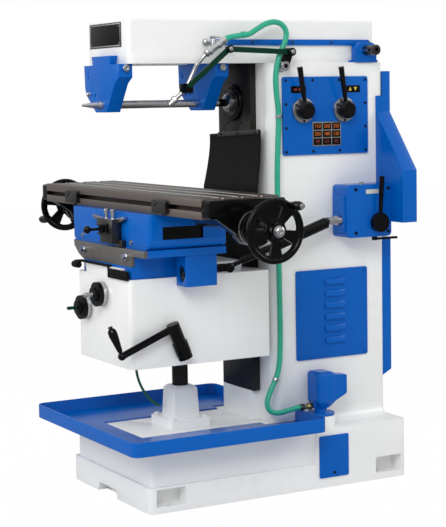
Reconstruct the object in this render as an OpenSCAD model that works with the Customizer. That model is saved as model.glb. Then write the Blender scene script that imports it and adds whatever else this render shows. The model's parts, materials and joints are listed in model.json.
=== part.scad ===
// Knee-type horizontal milling machine with a ram overarm, two arbor yokes and a telescopic feed shaft.
// Millimetres, +Z up. The operator stands at -Y, the table travels along X, and the origin is on the floor
// under the spindle line. Y = 0 lies a little in front of the column ways.

/* [Base and tray] */
// width of the plinth
base_w = 614; // [560:1:680]
// front of the plinth
base_front = -459; // [-500:1:-430]
// rear of the plinth
base_rear = 570; // [560:1:620]
// height of the plinth step
plinth_h = 88; // [60:1:110]
// height of the base's working top
base_top = 222; // [200:1:250]
// thickness of the base's walls
base_wall = 22; // [14:1:30]
// width of the drip tray
tray_w = 814; // [760:1:860]
// front of the drip tray
tray_front = -560; // [-600:1:-520]
// rear of the drip tray
tray_rear = 177; // [150:1:185]
// height of the tray's rim
tray_h = 48; // [30:1:60]
// thickness of the tray's sheet
tray_t = 5; // [3:0.5:8]
// clear hole of a foundation bolt
anchor_d = 18; // [14:1:22]

/* [Column] */
// width of the column
column_w = 390; // [370:1:410]
// front face of the column
column_front = 88; // [84:1:96]
// rear face of the column
column_rear = 555; // [530:1:558]
// top of the column
column_top = 1480; // [1470:1:1500]
// thickness of the column's walls
column_wall = 24; // [16:1:30]
// width of the column ways
way_w = 224; // [210:1:240]
// front face of the column ways
way_front = 57; // [54:1:60]

/* [Spindle and overarm] */
// height of the spindle line
spindle_z = 1346; // [1340:1:1352]
// diameter of the spindle's front journal
spindle_d = 98; // [90:1:104]
// diameter of the arbor
arbor_d = 27; // [22:0.5:32]
// front tip of the arbor
arbor_tip = -528; // [-560:1:-500]
// width of the overarm
overarm_w = 326; // [310:1:340]
// height of the overarm
overarm_h = 146; // [130:1:160]
// front of the overarm
overarm_front = -428; // [-450:1:-410]
// length of the overarm
overarm_l = 971; // [940:1:1000]
// width of the dovetail under the overarm
dovetail_w = 150; // [130:1:170]
// height of that dovetail
dovetail_h = 29; // [24:1:34]
// width of a yoke
yoke_w = 276; // [260:1:290]
// thickness of a yoke
yoke_t = 50; // [40:1:56]
// middle of the front yoke
front_yoke_y = -430; // [-440:1:-420]
// middle of the rear yoke
rear_yoke_y = -66; // [-80:1:-60]

/* [Knee and saddle] */
// width of the knee
knee_w = 418; // [400:1:430]
// front of the knee
knee_front = -468; // [-480:1:-455]
// rear of the knee
knee_rear = 67; // [64:1:72]
// underside of the knee
knee_bottom = 470; // [455:1:490]
// top of the knee beside its ways
knee_top = 770; // [755:1:785]
// width of the knee's cross ways
cross_way_w = 300; // [270:1:330]
// height of the knee's cross ways
cross_way_h = 33; // [26:1:38]
// diameter of the elevating screw
lift_screw_d = 56; // [44:1:60]
// distance of the elevating screw from the spindle line's Y = 0
lift_screw_y = -180; // [-190:1:-170]
// width of the saddle
saddle_w = 610; // [590:1:630]
// front of the saddle
saddle_front = -440; // [-450:1:-430]
// depth of the saddle
saddle_l = 290; // [270:1:300]
// top of the saddle
saddle_top = 990; // [984:1:996]

/* [Table and handwheels] */
// length of the table
table_l = 1220; // [1150:1:1300]
// width of the table
table_w = 280; // [260:1:300]
// height of the table's working face
table_top = 1056; // [1050:1:1064]
// width of a T-slot's neck
slot_w = 14; // [12:1:18]
// width of a T-slot's foot
slot_foot_w = 24; // [20:1:30]
// distance between T-slots
slot_pitch = 70; // [60:1:80]
// diameter of the table's lead screw
lead_screw_d = 28; // [22:1:32]
// height of the lead screw
lead_screw_z = 960; // [955:1:965]
// middle of the lead screw from front to rear
lead_screw_y = -257; // [-260:1:-240]
// diameter of a handwheel
wheel_d = 202; // [170:1:210]
// distance of a handwheel from the end of the table
wheel_reach = 183; // [180:1:200]

/* [Feed drive] */
// across position of the feed shaft
feed_x = 255; // [250:1:258]
// upper pivot of the feed shaft, from front to rear
feed_up_y = 290; // [280:1:296]
// height of the upper pivot
feed_up_z = 930; // [920:1:936]
// lower pivot of the feed shaft, from front to rear
feed_low_y = -122; // [-126:1:-118]
// height of the lower pivot
feed_low_z = 795; // [790:1:800]
// diameter of the feed shaft's tube
feed_tube_d = 40; // [36:1:44]
// diameter of the rod that slides in the tube
feed_rod_d = 24; // [20:1:28]

/* [Hoses] */
// diameter of the coolant hose
hose_d = 19; // [14:1:22]
// diameter of the knee's drain hose
drain_d = 9; // [6:1:12]

/* [Fits] */
// gap between sliding flat faces
slide_gap = 0.1; // [0.05:0.05:0.3]
// gap round a turning shaft
run_gap = 0.05; // [0.02:0.01:0.1]
// gap between pieces that pass each other
pass_gap = 0.5; // [0.3:0.1:2]

/* [Output] */
// the node to draw

/* [Hidden] */
$fn = 64;

white = [0.92, 0.93, 0.92];
blue = [0.09, 0.36, 0.74];
black = [0.07, 0.07, 0.08];
steel = [0.70, 0.71, 0.72];
iron = [0.43, 0.41, 0.39];
green = [0.26, 0.70, 0.56];

column_x = column_w / 2;
base_x = base_w / 2;
overarm_x = overarm_w / 2;
overarm_rear = overarm_front + overarm_l;
overarm_top = column_top + overarm_h;
table_mid = saddle_front + saddle_l / 2 + 24;
table_front = table_mid - table_w / 2;
table_rear = table_mid + table_w / 2;
table_x = table_l / 2;
wheel_x = table_x + wheel_reach;
saddle_rear = saddle_front + saddle_l;
cross_bottom = knee_top + slide_gap;

// Plain solids between two corners or along an axis

module block(low, high) { translate(low) cube(high - low); }

module rod_x(d, x0, x1, y, z) { translate([x0, y, z]) rotate([0, 90, 0]) cylinder(d = d, h = x1 - x0); }

module rod_y(d, x, y0, y1, z) { translate([x, y0, z]) rotate([-90, 0, 0]) cylinder(d = d, h = y1 - y0); }

module rod_z(d, x, y, z0, z1) { translate([x, y, z0]) cylinder(d = d, h = z1 - z0); }

// Profiles: (Y, Z) drawn out along X, (X, Z) along Y and (X, Y) along Z

module along_x(x0, x1) { translate([x0, 0, 0]) rotate([90, 0, 90]) linear_extrude(x1 - x0) children(); }

module along_y(y0, y1) { translate([0, y1, 0]) rotate([90, 0, 0]) linear_extrude(y1 - y0) children(); }

module along_z(z0, z1) { translate([0, 0, z0]) linear_extrude(z1 - z0) children(); }

module rounded(a0, a1, b0, b1, r) {
  translate([a0 + r, b0]) square([a1 - a0 - 2 * r, b1 - b0]);
  translate([a0, b0 + r]) square([a1 - a0, b1 - b0 - 2 * r]);
  for (a = [a0 + r, a1 - r], b = [b0 + r, b1 - r]) translate([a, b]) circle(r);
}

// A dovetail that stands up from b0: narrow at its foot, grown all round by gap
module dovetail(mid, w, undercut, b0, h, gap = 0) {
  polygon([[mid - w / 2 + undercut - gap, b0 - 0.01], [mid + w / 2 - undercut + gap, b0 - 0.01],
           [mid + w / 2 + gap, b0 + h + gap], [mid - w / 2 - gap, b0 + h + gap]]);
}

// Slotted round heads on a face, pointing along X or Y

module head_x(d, h, x, y, z) {
  difference() {
    rod_x(d, x, x + h, y, z);
    block([x + h - 1.2, y - d, z - 0.8], [x + h + 1, y + d, z + 0.8]);
  }
}

module head_y(d, h, x, y, z) {
  difference() {
    rod_y(d, x, y - h, y, z);
    block([x - d, y - h - 1, z - 1.2], [x + d, y - h + 1.5, z + 1.2]);
  }
}

// A round tube along points, with sides faces and flat ends

function unit(v) = v / norm(v);
function tangent(p, i) = unit(p[min(i + 1, len(p) - 1)] - p[max(i - 1, 0)]);
function carried(p, i) = i == 0
  ? unit(cross(tangent(p, 0), abs(tangent(p, 0)[2]) < 0.9 ? [0, 0, 1] : [1, 0, 0]))
  : let (t = tangent(p, i), s = carried(p, i - 1)) unit(s - (s * t) * t);
function spline(p, n) = [for (i = [0 : len(p) - 2], k = [0 : n - 1])
  let (a = p[max(i - 1, 0)], b = p[i], c = p[i + 1], d = p[min(i + 2, len(p) - 1)], t = k / n)
    0.5 * (2 * b + (c - a) * t + (2 * a - 5 * b + 4 * c - d) * t * t + (3 * b - a - 3 * c + d) * t * t * t),
  p[len(p) - 1]];

module tube_along(p, d, sides = 10) {
  rings = len(p);
  polyhedron(
    [for (i = [0 : rings - 1]) let (t = tangent(p, i), s = carried(p, i), u = cross(t, s))
      for (k = [0 : sides - 1]) p[i] + d / 2 * (cos(360 * k / sides) * s + sin(360 * k / sides) * u)],
    concat(
      [for (i = [0 : rings - 2], k = [0 : sides - 1]) let (n = (k + 1) % sides)
        [i * sides + k, (i + 1) * sides + k, (i + 1) * sides + n]],
      [for (i = [0 : rings - 2], k = [0 : sides - 1]) let (n = (k + 1) % sides)
        [i * sides + k, (i + 1) * sides + n, i * sides + n]],
      [[for (k = [0 : sides - 1]) k]],
      [[for (k = [sides - 1 : -1 : 0]) (rings - 1) * sides + k]]));
}

// Base, tray and what stands on them

anchor_y = [base_front + 80, base_rear - 75];
anchor_x = base_x - 26;
anchor_pocket_l = 110;
anchor_floor = 22;
notch_w = 130;
notch_mid = -25;
foot_front = 187;
foot_top = base_top - 14;
foot_fillet = 48;
door_y = [201, 322];
door_z = [35, 184];

module base() {
  color(white) difference() {
    union() {
      along_z(0, plinth_h) rounded(-base_x, base_x, base_front, base_rear, 18);
      along_z(plinth_h - 1, base_top) rounded(-base_x + 8, base_x - 8, base_front + 12, foot_front + 20, 22);
      along_z(0, foot_top) rounded(-base_x, base_x, foot_front, base_rear, 18);
      along_y(foot_front, column_rear - 14) {
        difference() {
          for (s = [0, 1]) mirror([s, 0]) translate([column_x, foot_top - 1]) square([foot_fillet, foot_fillet + 1]);
          for (s = [-1, 1]) translate([s * (column_x + foot_fillet), foot_top + foot_fillet]) circle(foot_fillet);
        }
      }
      block([-column_x, foot_front, foot_top - 1], [column_x, column_rear, base_top]);
      rod_z(pump_flange_d + 4, pump_x, pump_y, foot_top - 1, pump_seat);
    }
    block([-base_x + base_wall + 8, base_front + base_wall + 12, base_wall],
          [base_x - base_wall - 8, base_rear - base_wall, foot_top - base_wall]);
    rod_z(lift_screw_d + 8, 0, lift_screw_y, base_wall + 1, base_top + 1);
    along_y(base_front - 1, base_front + base_wall + 14)
      polygon([[notch_mid - notch_w / 2 - 14, -1], [notch_mid + notch_w / 2 + 14, -1],
               [notch_mid + notch_w / 2, 31], [notch_mid - notch_w / 2, 31]]);
    for (s = [-1, 1], y = anchor_y)
      block([s * base_x - (s > 0 ? 58 : 1), y - anchor_pocket_l / 2, -1],
            [s * base_x + (s > 0 ? 1 : 58), y + anchor_pocket_l / 2, plinth_h - 7]);
    block([base_x - base_wall - 10, door_y[0] + 12, door_z[0] + 12], [base_x + 1, door_y[1] - 12, door_z[1] - 12]);
  }
  color(white) for (s = [-1, 1], y = anchor_y) anchor_pocket(s, y);
}

// The cast pocket round a foundation bolt: a pad with the bolt's hole and three walls
module anchor_pocket(s, y) {
  outer = s * base_x;
  inner = s * (base_x - 58);
  reach = anchor_pocket_l / 2;
  difference() {
    union() {
      block([min(outer, inner), y - reach, 0], [max(outer, inner), y + reach, anchor_floor]);
      block([min(inner, inner - s * 12), y - reach - 1, 0], [max(inner, inner - s * 12), y + reach + 1, plinth_h - 2]);
      for (e = [-1, 1])
        block([min(inner - s * 12, outer - s * 20), min(y + e * reach, y + e * (reach + 12)), 0],
              [max(inner - s * 12, outer - s * 20), max(y + e * reach, y + e * (reach + 12)), plinth_h - 2]);
      block([min(inner - s * 12, outer - s * 20), y - reach - 1, plinth_h - 7],
            [max(inner - s * 12, outer - s * 20), y + reach + 1, plinth_h + 3]);
    }
    rod_z(anchor_d, s * anchor_x, y, -1, anchor_floor + 1);
  }
}

module base_door() {
  color(blue) along_x(base_x, base_x + 4) rounded(door_y[0], door_y[1], door_z[0], door_z[1], 6);
}

// The tray is open over the middle of the base, in front of the column
tray_window = [156, -408];

module drip_tray() {
  color(blue) difference() {
    along_z(base_top, base_top + tray_h) rounded(-tray_w / 2, tray_w / 2, tray_front, tray_rear, 30);
    along_z(base_top + tray_t, base_top + tray_h + 1)
      rounded(-tray_w / 2 + tray_t, tray_w / 2 - tray_t, tray_front + tray_t, tray_rear - tray_t, 30 - tray_t);
    block([-column_x - pass_gap, way_front - 4, base_top - 1],
          [column_x + pass_gap, tray_rear + 1, base_top + tray_h + 1]);
    block([-tray_window[0], tray_window[1], base_top - 1], [tray_window[0], way_front, base_top + tray_t + 1]);
  }
}

pedestal_w = 160;
pedestal_top = 363;
pedestal_flange = 30;
pedestal_body = [98, 88];
pedestal_shoulder = 10;

module pedestal_side(mid) {
  polygon([[mid - pedestal_body[0] / 2, base_top + pedestal_flange - 1],
           [mid + pedestal_body[0] / 2, base_top + pedestal_flange - 1],
           [mid + pedestal_body[1] / 2, pedestal_top - pedestal_shoulder],
           [mid + pedestal_body[1] / 2 - pedestal_shoulder, pedestal_top],
           [mid - pedestal_body[1] / 2 + pedestal_shoulder, pedestal_top],
           [mid - pedestal_body[1] / 2, pedestal_top - pedestal_shoulder]]);
}

module screw_pedestal() {
  color(white) difference() {
    union() {
      along_z(base_top, base_top + pedestal_flange)
        rounded(-pedestal_w / 2, pedestal_w / 2, lift_screw_y - pedestal_w / 2, lift_screw_y + pedestal_w / 2, 10);
      intersection() {
        along_x(-pedestal_w / 2, pedestal_w / 2) pedestal_side(lift_screw_y);
        along_y(lift_screw_y - pedestal_w / 2, lift_screw_y + pedestal_w / 2) pedestal_side(0);
      }
    }
    rod_z(lift_screw_d + 18, 0, lift_screw_y, base_top - 1, pedestal_top - 8);
    rod_z(lift_screw_d + 2 * pass_gap, 0, lift_screw_y, base_top, pedestal_top + 1);
    for (x = [-1, 1], y = [-1, 1])
      rod_z(11, x * (pedestal_w / 2 - 17), lift_screw_y + y * (pedestal_w / 2 - 17), base_top - 1, base_top + 40);
  }
}

module pedestal_bolts() {
  for (x = [-1, 1], y = [-1, 1]) translate([x * (pedestal_w / 2 - 17), lift_screw_y + y * (pedestal_w / 2 - 17), 0]) {
    translate([0, 0, base_top + pedestal_flange]) cylinder(d = 19, h = 8, $fn = 6);
    translate([0, 0, base_top]) cylinder(d = 10, h = pedestal_flange + 1);
  }
}

// The bronze nut in the pedestal that the elevating screw turns in
module lift_nut() {
  color([0.72, 0.53, 0.26]) difference() {
    rod_z(lift_screw_d + 18, 0, lift_screw_y, base_top + 40, pedestal_top - 8);
    rod_z(lift_screw_d + 2 * run_gap, 0, lift_screw_y, base_top, pedestal_top);
  }
}

// Column and what is fastened to it

way_undercut = 12;
louvre_y = [181, 481];
louvre_z = [437, 754];
panel_y = [135, 488];
panel_z = [1160, 1431];
panel_t = 8;
panel_x = column_x + panel_t;
nose_ring_d = 126;
mat_top = 1241;
way_bottom = 330;
way_foot_w = 180;

module column_outline() {
  rounded(-column_x, column_x, column_front, column_front + 300, 35);
  rounded(-column_x, column_x, column_front + 120, column_rear, 12);
}

module column() {
  color(white) difference() {
    union() {
      along_z(base_top, column_top) column_outline();
      block([-way_foot_w / 2, way_front, base_top], [way_foot_w / 2, column_front + 40, way_bottom - 1]);
      along_y(column_front, column_rear) dovetail(0, dovetail_w, 9, column_top, dovetail_h);
    }
    block([-column_x + column_wall, column_front + column_wall, base_top + column_wall],
          [column_x - column_wall, column_rear - column_wall, column_top - 2 * column_wall]);
    rod_y(spindle_d + 2 * run_gap, 0, column_front - 1, column_front + column_wall + 1, spindle_z);
    rod_y(spindle_rear_d + 2 * run_gap, 0, column_rear - column_wall - 1, column_rear + 1, spindle_z);
    block([column_x - column_wall - 1, louvre_y[0] + 16, louvre_z[0] + 16],
          [column_x + 1, louvre_y[1] - 16, louvre_z[1] - 16]);
  }
}

module column_ways() {
  color([0.20, 0.20, 0.19]) difference() {
    along_z(way_bottom, column_top)
      polygon([[-way_w / 2, way_front], [way_w / 2, way_front], [way_w / 2 - way_undercut, column_front],
               [-way_w / 2 + way_undercut, column_front]]);
    rod_y(spindle_d + 2 * run_gap, 0, way_front - 1, column_front + 1, spindle_z);
    for (x = [-44, 44]) rod_y(9, x, way_front - 1, way_front + 8, spindle_z - 72);
  }
  color(black) difference() {
    rod_y(nose_ring_d, 0, way_front - 12, way_front, spindle_z);
    rod_y(spindle_d + 2 * run_gap, 0, way_front - 13, way_front + 1, spindle_z);
    for (a = [45 : 90 : 315])
      rod_y(6, 56 * cos(a), way_front - 13, way_front - 6, spindle_z + 56 * sin(a));
  }
}

module control_panel() {
  color(blue) difference() {
    union() {
      along_x(column_x, panel_x) rounded(panel_y[0], panel_y[1], panel_z[0], panel_z[1], 8);
      for (y = lever_y) rod_x(86, panel_x - 1, lever_boss_x, y, lever_z);
    }
    for (y = lever_y) rod_x(18 + 2 * run_gap, panel_x, lever_boss_x + 1, y, lever_z);
  }
}

// Every screw on the column's right side, the base door's screw and the pedestal's bolts
module frame_screws() {
  inset = 12;
  ys = [for (i = [0 : 3]) panel_y[0] + inset + i * (panel_y[1] - panel_y[0] - 2 * inset) / 3];
  zs = [for (i = [0 : 3]) panel_z[0] + inset + i * (panel_z[1] - panel_z[0] - 2 * inset) / 3];
  color(black) for (i = [0 : 3], k = [0 : 3])
    if (i == 0 || i == 3 || k == 0 || k == 3) head_x(9, 3, panel_x, ys[i], zs[k]);
  color(steel) {
    for (y = [louvre_y[0] + 12, louvre_y[1] - 12], z = [louvre_z[0] + 12, louvre_z[1] - 12])
      head_x(9, 3, column_x + 5, y, z);
    for (y = [gearbox_front + 34, guard_front - 14], z = [gearbox_z[0] + 16, gearbox_z[1] - 16])
      head_x(11, 4, gearbox_out, y, z);
    head_x(10, 3, base_x + 4, (door_y[0] + door_y[1]) / 2, door_z[0] + 16);
    pedestal_bolts();
  }
}

lever_y = [212, 381];
lever_z = 1315;
lever_boss_x = panel_x + 14;

module louvre_cover() {
  pitch = (louvre_z[1] - louvre_z[0]) / 7.6;
  mid = (louvre_y[0] + louvre_y[1]) / 2 + 10;
  color(blue) difference() {
    union() {
      along_x(column_x, column_x + 5) rounded(louvre_y[0], louvre_y[1], louvre_z[0], louvre_z[1], 8);
      for (k = [0 : 5]) translate([column_x + 5, mid, louvre_z[0] + pitch * (k + 1.3)])
        intersection() {
          rotate([90, 0, 0]) translate([-4, 0, -40]) cylinder(r = 12, h = 80);
          block([-1, -40, 0], [12, 40, 12]);
        }
    }
    for (k = [0 : 5]) translate([column_x + 5, mid, louvre_z[0] + pitch * (k + 1.3)]) {
      intersection() {
        rotate([90, 0, 0]) translate([-4, 0, -37]) cylinder(r = 9.5, h = 74);
        block([-6, -37, -1], [12, 37, 12]);
      }
    }
  }
}

guard_front = column_rear - 30;
guard_step = 1361;
guard_rear = guard_front + 60;
guard_top = 1448;
guard_out = 361;
guard_bottom = 917;
guard_knee = [1303, 1101];
guard_t = 3;

// The sheet guard over the feed belt: it runs down the column's rear and out to the feed gearbox
module guard_outline(inset) {
  polygon([[-110 + inset, guard_top - inset], [column_x + 6 - inset, guard_top - inset],
           [column_x + 6 - inset, guard_knee[0] - inset * 0.4], [guard_out - inset, guard_knee[1] - inset * 0.4],
           [guard_out - inset, guard_bottom + inset], [column_x + 20 + inset, guard_bottom + inset],
           [-110 + inset, 1210 + inset]]);
}

module belt_guard() {
  color(blue) difference() {
    along_y(guard_front, guard_rear) guard_outline(0);
    along_y(guard_front + guard_t, guard_rear - guard_t) guard_outline(guard_t);
    block([-column_x - 30, guard_front - 1, guard_bottom - 1], [column_x, column_rear, guard_top + 1]);
    block([column_x - 1, guard_front - 1, guard_step], [guard_out, column_rear, guard_top + 1]);
    rod_y(spindle_rear_d + 20, 0, guard_front - 1, guard_rear - guard_t - 1, spindle_z);
  }
}

module rear_cover() {
  color(blue) difference() {
    along_x(-183, 183)
      polygon([[column_rear, 853], [column_rear + 42, 853], [column_rear + 42, 368], [column_rear, 345]]);
    along_x(-180, 180)
      polygon([[column_rear - 1, 850], [column_rear + 39, 850], [column_rear + 39, 371], [column_rear - 1, 350]]);
  }
}

gearbox_front = 340;
output_d = 34;
gearbox_z = [868, 1053];
gearbox_out = 290;
feed_lever_y = 462;
feed_lever_z = 919;
feed_lever_x = gearbox_out + 10;

module feed_gearbox() {
  color(blue) difference() {
    union() {
      along_x(column_x, gearbox_out) rounded(gearbox_front, guard_front, gearbox_z[0], gearbox_z[1], 14);
      along_y(gearbox_front - 8, gearbox_front + 1)
        rounded(column_x + 11, gearbox_out - 13, gearbox_z[0] + 18, gearbox_z[1] - 34, 12);
      rod_x(72, gearbox_out - 1, feed_lever_x, feed_lever_y, feed_lever_z);
    }
    rod_y(output_d, feed_x, gearbox_front - 9, gearbox_front + 30, feed_up_z);
    rod_x(20 + 2 * run_gap, gearbox_out - 30, feed_lever_x + 1, feed_lever_y, feed_lever_z);
    rod_z(12 + 2 * run_gap, clutch[0], clutch[1], gearbox_z[0] - 1, gearbox_z[0] + 21);
  }
}

// Feed shaft: a fork on the gearbox carries the tube, and a rod slides in the tube

feed_run = norm([feed_up_y - feed_low_y, feed_up_z - feed_low_z]);
feed_tilt = atan2(feed_up_z - feed_low_z, feed_up_y - feed_low_y);
eye_w = 16;
eye_d = 24;
feed_pin_d = 10;
tube_end = 224;
tube_floor = 24;
rod_start = 194;

module along_feed() { translate([feed_x, feed_up_y, feed_up_z]) rotate([90 + feed_tilt, 0, 0]) children(); }

module fork_arms(y0, y1, z) {
  for (s = [-1, 1]) along_x(feed_x + s * (eye_w / 2 + 3.5) - 3, feed_x + s * (eye_w / 2 + 3.5) + 3)
    rounded(min(y0, y1), max(y0, y1), z - 12, z + 12, 6);
}

module feed_output() {
  color(steel) {
    rod_y(output_d, feed_x, feed_up_y + 24, gearbox_front + 29, feed_up_z);
    fork_arms(feed_up_y - 12, feed_up_y + 30, feed_up_z);
    rod_x(feed_pin_d, feed_x - eye_w / 2 - 9, feed_x + eye_w / 2 + 9, feed_up_y, feed_up_z);
  }
}

module feed_tube() {
  color(black) along_feed() difference() {
    union() {
      translate([-eye_w / 2, 0, 0]) rotate([0, 90, 0]) cylinder(d = eye_d, h = eye_w);
      translate([-eye_w / 2, -8, 0]) cube([eye_w, 16, tube_floor - 4]);
      translate([0, 0, tube_floor - 5]) cylinder(d = feed_tube_d, h = tube_end - tube_floor + 5);
    }
    translate([0, 0, tube_floor]) cylinder(d = feed_rod_d + 2 * pass_gap, h = tube_end);
    translate([-eye_w, 0, 0]) rotate([0, 90, 0]) cylinder(d = feed_pin_d + 2 * run_gap, h = 2 * eye_w);
  }
}

module feed_rod() {
  color(black) along_feed() {
    translate([0, 0, rod_start]) cylinder(d = feed_rod_d, h = feed_run - 58 - rod_start);
    translate([0, 0, feed_run - 59]) cylinder(d = eye_w, h = 59);
    translate([-eye_w / 2, 0, feed_run]) rotate([0, 90, 0]) cylinder(d = eye_d, h = eye_w);
  }
}

// Coolant pump, hose and jointed nozzle arm

fitting_d = 18;

pump_x = 254;
pump_y = 243;
pump_d = 94;
pump_flange_d = 98;
pump_seat = 250;
pump_top = 405;

// The motor cap's outline from one side: a foot that draws in and a chamfered top
module pump_side(mid, half) {
  polygon([[mid - half + 20, pump_seat + 26], [mid + half - 20, pump_seat + 26], [mid + half, pump_seat + 52],
           [mid + half, pump_top - 12], [mid + half - 12, pump_top], [mid - half + 12, pump_top],
           [mid - half, pump_top - 12], [mid - half, pump_seat + 52]]);
}

module pump() {
  color([0.78, 0.62, 0.30]) {
    rod_y(fitting_d, pump_x, fitting_y + 8, pump_y - 20, fitting_z);
    translate([pump_x, fitting_y + 20, fitting_z]) rotate([-90, 0, 0]) cylinder(d = 28, h = 14, $fn = 6);
  }
  color(blue) {
    rod_z(pump_flange_d, pump_x, pump_y, pump_seat, pump_seat + 10);
    rod_z(44, pump_x, pump_y, pump_seat + 9, pump_seat + 27);
    intersection() {
      along_z(pump_seat + 26, pump_top) rounded(pump_x - 44, pump_x + 44, pump_y - 34, pump_y + 40, 18);
      along_x(pump_x - 50, pump_x + 50) pump_side(pump_y + 3, 37);
      along_y(pump_y - 50, pump_y + 50) pump_side(pump_x, 44);
    }
    intersection() {
      along_z(pump_seat + 50, pump_top - 10) rounded(pump_x - 12, pump_x + 38, pump_y + 30, pump_y + 90, 8);
      along_x(pump_x - 50, pump_x + 50) polygon([[pump_y, pump_seat + 40], [pump_y + 40, pump_seat + 50],
        [pump_y + 90, pump_seat + 74], [pump_y + 90, pump_top - 16], [pump_y + 30, pump_top - 10], [pump_y, pump_top - 10]]);
    }
  }
}

fitting_y = pump_y - 74;
fitting_z = pump_seat + 34;

// Route of the coolant hose, from the pump's fitting up the column and over to the valve
hose_route = [
  [pump_x, fitting_y + 7.4, fitting_z], [pump_x, fitting_y - 22, fitting_z], [249, 110, 277], [239, 76, 271],
  [227, 52, 280], [219, 46, 308], [216, 62, 348], [216, 86, 392], [216, 100, 450], [216, 104, 560], [216, 103, 740],
  [216, 101, 900], [216, 101, 1080], [215, 105, 1190], [214, 110, 1260], [214, 110, 1320], [214, 104, 1370],
  [214, 101, 1420], [214, 106, 1465], [214, 120, 1510], [214, 138, 1546], [214, 146, 1580], [214, 132, 1606],
  [214, 102, 1617], [214, 66, 1611], [214, 32, 1594], [214, -2, 1576], [215, -44, 1570], [217.5, -84, 1563.5],
  [214.7, -107.6, 1548.4]];

module coolant_hose() {
  color(green) tube_along(spline(hose_route, 3), hose_d);
}

arm_base = [133, 1468];
arm_pivot = [152, 1515];
arm_elbow = [-95, 1525];
arm_end = [-245, 1407];
arm_pin_d = 8;
link_w = 18;
link_t = 8;
link_gap = 1;
arm_x = 228;

module link(a, b, x) {
  run = norm(b - a);
  along_x(x, x + link_t) translate(a) rotate(atan2(b[1] - a[1], b[0] - a[0])) difference() {
    union() {
      translate([0, -link_w / 2]) square([run, link_w]);
      circle(d = link_w);
      translate([run, 0]) circle(d = link_w);
    }
    circle(d = arm_pin_d + 2 * run_gap);
    translate([run, 0]) circle(d = arm_pin_d + 2 * run_gap);
  }
}

module coolant_post() {
  color(steel) {
    rod_x(30, column_x, column_x + 16, arm_base[0], arm_base[1]);
    along_x(column_x + 4, arm_x - link_gap) translate(arm_base)
      rotate(atan2(arm_pivot[1] - arm_base[1], arm_pivot[0] - arm_base[0]))
        union() {
          translate([0, -14]) square([norm(arm_pivot - arm_base), 28]);
          circle(14);
          translate([norm(arm_pivot - arm_base), 0]) circle(14);
        }
    rod_x(arm_pin_d, arm_x - 2, arm_x + link_t + 1, arm_pivot[0], arm_pivot[1]);
    rod_x(20, arm_x + link_t + link_gap, arm_x + link_t + 8, arm_pivot[0], arm_pivot[1]);
  }
}

// Sliding mat over the upper ways, clamped under a strip

mat_t = 4;
mat_w = [360, 398];
mat_bottom = 1020;
mat_back = 35;
mat_low = knee_top + 5;

module way_mat() {
  color(steel) along_y(way_front - 10, way_front)
    polygon([[-105, mat_top - 16], [182, mat_top - 4], [182, mat_top + 12], [-105, mat_top]]);
  color(black) intersection() {
    along_x(-mat_w[1], mat_w[1])
      polygon([[way_front, mat_top + 20], [mat_back, mat_bottom], [mat_back, mat_low], [mat_back - mat_t, mat_low],
               [mat_back - mat_t, mat_bottom], [way_front - mat_t, mat_top + 20]]);
    along_y(0, way_front + 1)
      polygon([[-mat_w[0] / 2 + 11, mat_top - 8], [mat_w[0] / 2 + 13, mat_top + 7], [mat_w[1] / 2, mat_bottom],
               [mat_w[1] / 2, mat_low - 1], [-mat_w[1] / 2, mat_low - 1], [-mat_w[1] / 2, mat_bottom]]);
  }
}

// Overarm group

rail_t = 8;
rail_y = [-124, overarm_rear];
rail_z = column_top + 70;
pinion_y = 482;
pinion_z = rail_z - 29;

module overarm() {
  ledge = 5;
  color(white) difference() {
    intersection() {
      along_y(overarm_front, overarm_rear) {
        rounded(-overarm_x, overarm_x, column_top + slide_gap, overarm_top, 6);
        translate([-overarm_x - ledge, column_top + slide_gap]) square([overarm_w + 2 * ledge, 28]);
      }
      along_z(column_top, overarm_top + 1)
        rounded(-overarm_x - ledge, overarm_x + ledge, overarm_front, overarm_rear, 24);
    }
    along_y(overarm_front - 1, overarm_rear + 1) dovetail(0, dovetail_w, 9, column_top, dovetail_h, slide_gap);
    block([-overarm_x + 30, overarm_front + 30, column_top + dovetail_h + 20],
          [overarm_x - 30, overarm_rear - 30, overarm_top - 24]);
  }
}

module overarm_rail() {
  color(blue) block([overarm_x, rail_y[0], rail_z - 10], [overarm_x + rail_t, rail_y[1] - 26, rail_z + 10]);
}

module pinion_bracket() {
  color(blue) difference() {
    union() {
      along_x(overarm_x + rail_t + 3, column_x + 10) rounded(pinion_y - 44, pinion_y + 44, column_top, pinion_z + 28, 24);
      block([overarm_x + rail_t + 3, pinion_y - 44, column_top], [column_x + 10, pinion_y + 44, column_top + 24]);
      block([overarm_x + rail_t + 2, pinion_y - 56, column_top], [column_x, pinion_y + 56, column_top + 8]);
    }
    rod_x(26 + 2 * run_gap, overarm_x, column_x + 11, pinion_y, pinion_z);
  }
}

module pinion_shaft() {
  color(steel) difference() {
    union() {
      rod_x(26, overarm_x + rail_t + 3, column_x + 11, pinion_y, pinion_z);
      rod_x(36, column_x + 10.5, column_x + 72, pinion_y, pinion_z);
    }
    translate([column_x + 52, pinion_y, pinion_z]) rotate([90, 0, 0]) cylinder(d = 11, h = 60, center = true);
    rod_x(16, column_x + 60, column_x + 73, pinion_y, pinion_z);
  }
}

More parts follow.
